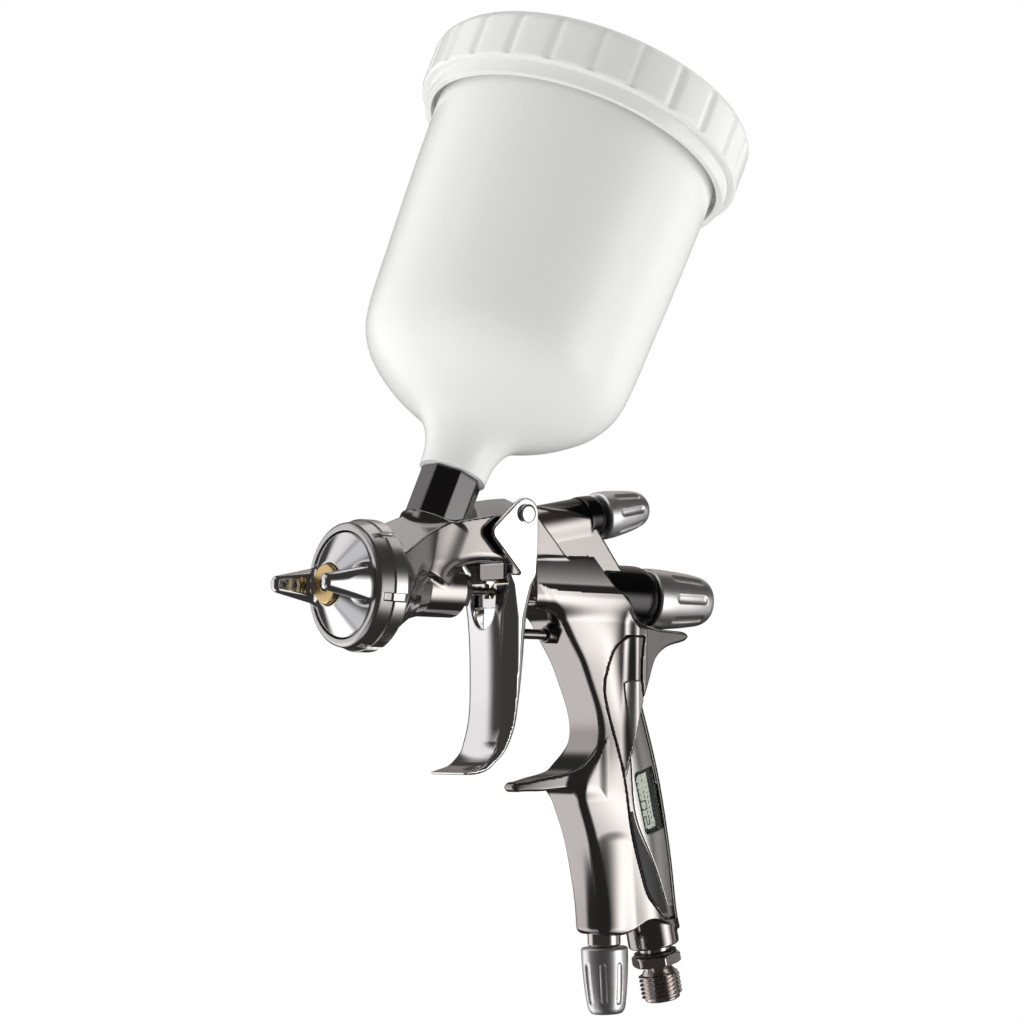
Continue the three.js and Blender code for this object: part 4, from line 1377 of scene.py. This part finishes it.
class FinishShop:
    """Every finish of the gun, made once."""

    looks: tuple[Look, ...] = (
        Look("smoked_chrome", "body_chrome", (0.36, 0.342, 0.335), roughness=(0.12, 0.16)),
        Look("black_chrome", "black_chrome", (0.14, 0.138, 0.14), roughness=(0.09, 0.13)),
        # a darker copy of the black chrome for sleeves and collars: painted shade, standing in for the less
        # light they mirror than the neck
        Look("dark_sleeve", "black_chrome", (0.05, 0.048, 0.05), roughness=(0.1, 0.14)),
        Look("trigger_chrome", "trigger_chrome", (0.86, 0.86, 0.87), roughness=(0.10, 0.14)),
        Look("cap_chrome", "cap_chrome", (0.78, 0.78, 0.79), roughness=(0.08, 0.12)),
        Look("ring_nickel", "ring_nickel", (0.58, 0.57, 0.565), roughness=(0.22, 0.27), effect=Effect.LINES,
             axis=(1.0, 0.0, 0.0), scale=6000.0),
        Look("knob_aluminium", "knob_aluminium", (0.86, 0.86, 0.87), roughness=(0.34, 0.4)),
        Look("brass", "brass", (0.72, 0.52, 0.25), roughness=(0.16, 0.26), effect=Effect.LINES,
             axis=(1.0, 0.0, 0.0), scale=5000.0, bump=0.01),
        Look("dark_steel", "steel", (0.26, 0.25, 0.24), roughness=(0.2, 0.3)),
        Look("inlet_nickel", "inlet_nickel", (0.62, 0.57, 0.55), roughness=(0.14, 0.22)),
        Look("black_plastic", "black_plastic", (0.02, 0.02, 0.021), metallic=0.0, roughness=(0.38, 0.5),
             effect=Effect.GRAIN, scale=2600.0, bump=0.02),
        Look("seal_plastic", "seal_plastic", (0.75, 0.74, 0.70), metallic=0.0, roughness=(0.4, 0.5)),
        Look("cup_plastic", "cup_plastic", (0.90, 0.898, 0.89), metallic=0.0, roughness=(0.19, 0.23),
             effect=Effect.GRAIN, scale=900.0, specular=0.4),
        Look("lens_clear", "lens_clear", (0.04, 0.045, 0.04), metallic=0.0,
             roughness=(0.03, 0.04), alpha=0.12),
        Look("display_film", "display_film", (0.78, 0.86, 0.72), metallic=0.0,
             roughness=(0.5, 0.6), specular=0.2),
        # dark ink: real print on the figures, and painted shade on the display's sheet where the green film
        # leaves its rear strip bare
        Look("display_ink", "display_film", (0.03, 0.035, 0.03), metallic=0.0,
             roughness=(0.5, 0.6), specular=0.2),
        Look("board_green", "board_green", (0.02, 0.12, 0.05), metallic=0.0, roughness=(0.4, 0.5)),
        Look("gauge_silver", "gauge_silver", (0.60, 0.59, 0.585), metallic=1.0, roughness=(0.2, 0.26),
             effect=Effect.GRAIN, scale=2600.0, bump=0.01),
    )

    def __init__(self) -> None:
        """Makes the effects and the finishes."""
        groups = {effect: effect_group(effect) for effect in Effect}
        self.made = {look.name: look.make(groups) for look in self.looks}
        for name, finish in self.made.items():
            setattr(self, name, finish)

    def for_slot(self, slot: str) -> Finish:
        """The first finish that fills a slot."""
        return next(finish for finish in self.made.values() if finish.slot == slot)


def dress(piece: bpy.types.Object, finish: Finish) -> bpy.types.Object:
    """Gives a piece its finish."""
    piece.data.materials.clear()
    piece.data.materials.append(finish.material)
    return piece


def seat(piece: bpy.types.Object, body: str, finish: Finish, *nodes: str) -> bpy.types.Object:
    """Dresses a piece, rides it on its body and lets it stand for CAD nodes.

    Args:
        piece: the piece.
        body: the body it moves with.
        finish: its finish.
        nodes: CAD nodes it stands for.

    Returns:
        The piece.
    """
    dress(piece, finish)
    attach(piece, body)
    if nodes:
        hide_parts(*nodes)
    return piece


# ---------------------------------------------------------------- room


BOX_SOCKETS = ("Azimuth", "Half Width", "Low", "High", "Soft Side", "Soft Low", "Soft High")


@dataclass(frozen=True)
class Softbox:
    """A lit rectangle of the room as mirrors see it: azimuth about Z from +X, half width, heights, edges."""

    azimuth: float
    half_width: float
    low: float
    high: float
    colour: tuple[float, float, float]
    soft_side: float = 4.0
    soft_low: float = 4.0
    soft_high: float = 4.0


class Studio:
    """White for the eye, even soft light for matt surfaces, and softboxes in a dark room for mirrors."""

    boxes: tuple[Softbox, ...] = (
        Softbox(-57.0, 14.0, -34.0, 6.0, (3.1, 3.06, 3.0), 16.0, 14.0, 12.0),
        Softbox(117.0, 23.0, -44.0, 46.0, (0.84, 0.82, 0.82), 7.0, 8.0, 8.0),
        Softbox(117.0, 22.0, -48.0, -6.0, (0.5, 0.5, 0.5), 7.0, 10.0, 12.0),
        Softbox(160.0, 16.0, -64.0, -26.0, (0.62, 0.61, 0.64), 8.0, 8.0, 8.0),
        Softbox(160.0, 16.0, 26.0, 58.0, (0.62, 0.61, 0.64), 8.0, 8.0, 8.0),
        Softbox(38.0, 22.0, 18.0, 60.0, (0.40, 0.36, 0.34), 10.0, 8.0, 8.0),
        Softbox(-14.0, 9.0, -30.0, 10.0, (0.45, 0.44, 0.44), 7.0, 10.0, 8.0),
    )
    ground: tuple[float, float, float] = (0.045, 0.042, 0.04)
    dim_side: tuple[float, float, float] = (-0.45, -0.75, 0.48)

    def box_group(self) -> bpy.types.NodeTree:
        """A group that gives how far a direction is inside a softbox, from nought to one."""
        group = bpy.data.node_groups.new("softbox_mask", "ShaderNodeTree")
        group.interface.new_socket("Direction", in_out="INPUT", socket_type="NodeSocketVector")
        for name in BOX_SOCKETS:
            group.interface.new_socket(name, in_out="INPUT", socket_type="NodeSocketFloat")
        group.interface.new_socket("Mask", in_out="OUTPUT", socket_type="NodeSocketFloat")
        board = Board(group)
        given = board.add("NodeGroupInput").outputs
        parts = board.add("ShaderNodeSeparateXYZ", {0: given["Direction"]}).outputs
        heading = board.math("DEGREES", board.math("ARCTAN2", parts["Y"], parts["X"]))
        height = board.math("DEGREES", board.math("ARCSINE", parts["Z"]))
        away = board.math("SUBTRACT", heading, given["Azimuth"])
        away = board.math("ABSOLUTE", board.math("WRAP", away, 180.0, -180.0))
        masks = [self.ramp(board, board.math("SUBTRACT", given["Half Width"], away), given["Soft Side"]),
                 self.ramp(board, board.math("SUBTRACT", height, given["Low"]), given["Soft Low"]),
                 self.ramp(board, board.math("SUBTRACT", given["High"], height), given["Soft High"])]
        mask = board.math("MULTIPLY", board.math("MULTIPLY", masks[0], masks[1]), masks[2])
        board.add("NodeGroupOutput", {"Mask": mask})
        return group

    @staticmethod
    def ramp(board: Board, depth: bpy.types.NodeSocket, soft: bpy.types.NodeSocket) -> bpy.types.NodeSocket:
        """Smooth rise from nought to one as depth goes from minus soft to plus soft."""
        return board.step(board.math("DIVIDE", depth, soft), -1.0, 1.0)

    def build(self) -> None:
        """Builds the world."""
        world = bpy.data.worlds.new("studio")
        world.use_nodes = True
        bpy.context.scene.world = world
        world.node_tree.nodes.clear()
        board = Board(world.node_tree)
        direction = board.add("ShaderNodeTexCoord").outputs["Generated"]
        group = self.box_group()
        total: object = self.ground
        for box in self.boxes:
            mask = board.add("ShaderNodeGroup", node_tree=group)
            board.tree.links.new(direction, mask.inputs["Direction"])
            for key in BOX_SOCKETS:
                mask.inputs[key].default_value = getattr(box, key.lower().replace(" ", "_"))
            lit = board.add("ShaderNodeVectorMath", {0: box.colour, "Scale": mask.outputs[0]},
                            operation="SCALE").outputs[0]
            total = board.add("ShaderNodeVectorMath", {0: total, 1: lit}, operation="ADD").outputs[0]
        mirrors = board.add("ShaderNodeBackground", {"Color": total, "Strength": 1.0}).outputs[0]
        facing = board.add("ShaderNodeVectorMath", {0: direction, 1: self.dim_side},
                           operation="DOT_PRODUCT").outputs["Value"]
        level = board.add("ShaderNodeMapRange", {"Value": facing, "From Min": -0.4, "From Max": 0.85,
                                                 "To Min": 1.65, "To Max": 0.42}).outputs[0]
        plain = (1.0, 1.0, 1.0, 1.0)
        matt = board.add("ShaderNodeBackground", {"Color": plain, "Strength": level}).outputs[0]
        white = board.add("ShaderNodeBackground", {"Color": plain, "Strength": 1.0}).outputs[0]
        path = board.add("ShaderNodeLightPath").outputs
        seen = board.add("ShaderNodeMixShader", {0: path["Is Glossy Ray"], 1: matt, 2: mirrors}).outputs[0]
        seen = board.add("ShaderNodeMixShader", {0: path["Is Camera Ray"], 1: seen, 2: white}).outputs[0]
        board.add("ShaderNodeOutputWorld", {"Surface": seen})


@dataclass(frozen=True)
class Lamp:
    """A soft square lamp that lights matt surfaces and isn't mirrored."""

    name: str
    place: tuple[float, float, float]
    size: float
    power: float

    def build(self) -> None:
        """Hangs the lamp, facing the gun's middle."""
        light = bpy.data.lights.new(self.name, "AREA")
        light.size, light.energy = self.size, self.power
        lamp = bpy.data.objects.new(self.name, light)
        lamp.location = self.place
        lamp.rotation_euler = (-Vector(self.place)).to_track_quat("-Z", "Y").to_euler()
        lamp.visible_glossy = False
        bpy.context.scene.collection.objects.link(lamp)


@dataclass(frozen=True)
class View:
    """The camera: a long lens a little below the gun's middle, turned slightly about its line of sight."""

    place: tuple[float, float, float] = (-0.66939, -0.80269, 0.01329)
    azimuth: float = -0.6639
    elevation: float = -0.0703
    roll: float = 0.0119
    lens: float = 116.0

    def build(self) -> None:
        """Makes the camera and sets how brightness is shown."""
        data = bpy.data.cameras.new("camera")
        data.sensor_width, data.lens = 36.0, self.lens
        data.clip_start, data.clip_end = 0.05, 100.0
        camera = bpy.data.objects.new("camera", data)
        bpy.context.scene.collection.objects.link(camera)
        back = Vector((math.sin(self.azimuth) * math.cos(self.elevation),
                       -math.cos(self.azimuth) * math.cos(self.elevation), math.sin(self.elevation)))
        right = (-back).cross(Vector((0.0, 0.0, 1.0))).normalized()
        up = right.cross(-back)
        turn = Matrix((right, up, back)).transposed() @ Matrix.Rotation(self.roll, 3, "Z")
        camera.matrix_world = Matrix.Translation(self.place) @ turn.to_4x4()
        bpy.context.scene.camera = camera
        bpy.context.scene.view_settings.view_transform = "Standard"


def lay_floor(shop: FinishShop) -> None:
    """A broad pale floor well under the gun."""
    half, height = 1.2, -0.3
    mesh = bpy.data.meshes.new("floor")
    corners = [(x * half, y * half, height) for x, y in ((-1, -1), (1, -1), (1, 1), (-1, 1))]
    mesh.from_pydata(corners, [], [(0, 1, 2, 3)])
    floor = bpy.data.objects.new("floor", mesh)
    bpy.context.scene.collection.objects.link(floor)
    look = Look("floor_paint", "seal_plastic", (0.9, 0.9, 0.9), metallic=0.0, roughness=(0.6, 0.7),
                specular=0.1)
    mesh.materials.append(look.make({look.effect: effect_group(look.effect)}).material)
    floor.visible_glossy = False


# ---------------------------------------------------------------- the whole gun


@dataclass
class Gauge:
    """Housing, wedge, cover, lens, display and figures."""

    def build(self, shop: FinishShop) -> None:
        """Makes the pieces, dresses them and seats them."""
        seat(GaugeHousing().build(), "gun", shop.smoked_chrome, "gauge_tray")
        seat(GaugeFoot().build(), "gun", shop.black_plastic)
        seat(GaugeCover().build(), "gun", shop.gauge_silver, "gauge_cover", "gauge_screw_1", "gauge_screw_2")
        lens = GaugeWindow(name="lens_pane", sink=0.05, depth=0.7)
        seat(lens.build(), "gun", shop.lens_clear, "gauge_lens")
        # dark sheet under the whole window; the green film stops 6.6 mm back, and the strip left dark behind
        # it is painted shade
        frame_and_shade = GaugeWindow(name="display_frame_and_shade", sink=0.93, depth=0.8)
        seat(frame_and_shade.build(), "gun", shop.display_ink, "display")
        glass = GaugeWindow(name="display_glass", inset=0.9, sink=0.86, depth=0.4, reach=6.6)
        seat(glass.build(), "gun", shop.display_film)
        seat(Digits().build(), "gun", shop.display_ink)
        cell = turned_across("coin_cell", (54.4, -43.0), -1.0, [
            (0.0, 5.7), (2.0, 5.7, 0.1), (2.1, 6.9, 0.15), (1.6, 7.0), (0.0, 7.0)])
        seat(cell, "gun", shop.dark_steel, "battery")


def dress_inner_parts(shop: FinishShop) -> None:
    """Gives every CAD node that still shows the procedural finish of its own slot."""
    for node in frame["nodes"].values():
        for place in node.material_slots:
            place.material = shop.for_slot(slot_of(node)).material


def slot_of(node: bpy.types.Object) -> str:
    """The record's slot of a CAD node, from the name of the material it came with."""
    name = node.material_slots[0].material.name
    slots = [entry["slot"] for entry in frame["record"]["materials"]]
    return max((slot for slot in slots if slot in name), key=len, default="steel")


def main() -> None:
    """Builds room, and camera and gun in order."""
    logging.basicConfig(level=logging.INFO, format="%(message)s")
    View().build()
    Studio().build()
    Lamp("left_lamp", (-1.3, 0.1, -0.5), 0.8, 12.0).build()
    Lamp("right_lamp", (1.2, -0.5, 0.1), 0.6, 6.0).build()
    shop = FinishShop()
    lay_floor(shop)
    dress_inner_parts(shop)
    seat(GunBody().build(), "gun", shop.smoked_chrome, "gun_body")
    for part in (Gauge(), TriggerAssembly(Trigger()), SprayHead(AirCap(), CapRing()),
                 CupAssembly(CupNeck(), PaintCup(), CupLid()), Controls()):
        part.build(shop)
        log.info("built %s", type(part).__name__)
    AirInlet().dress(shop)


if __name__ == "__main__":
    main()
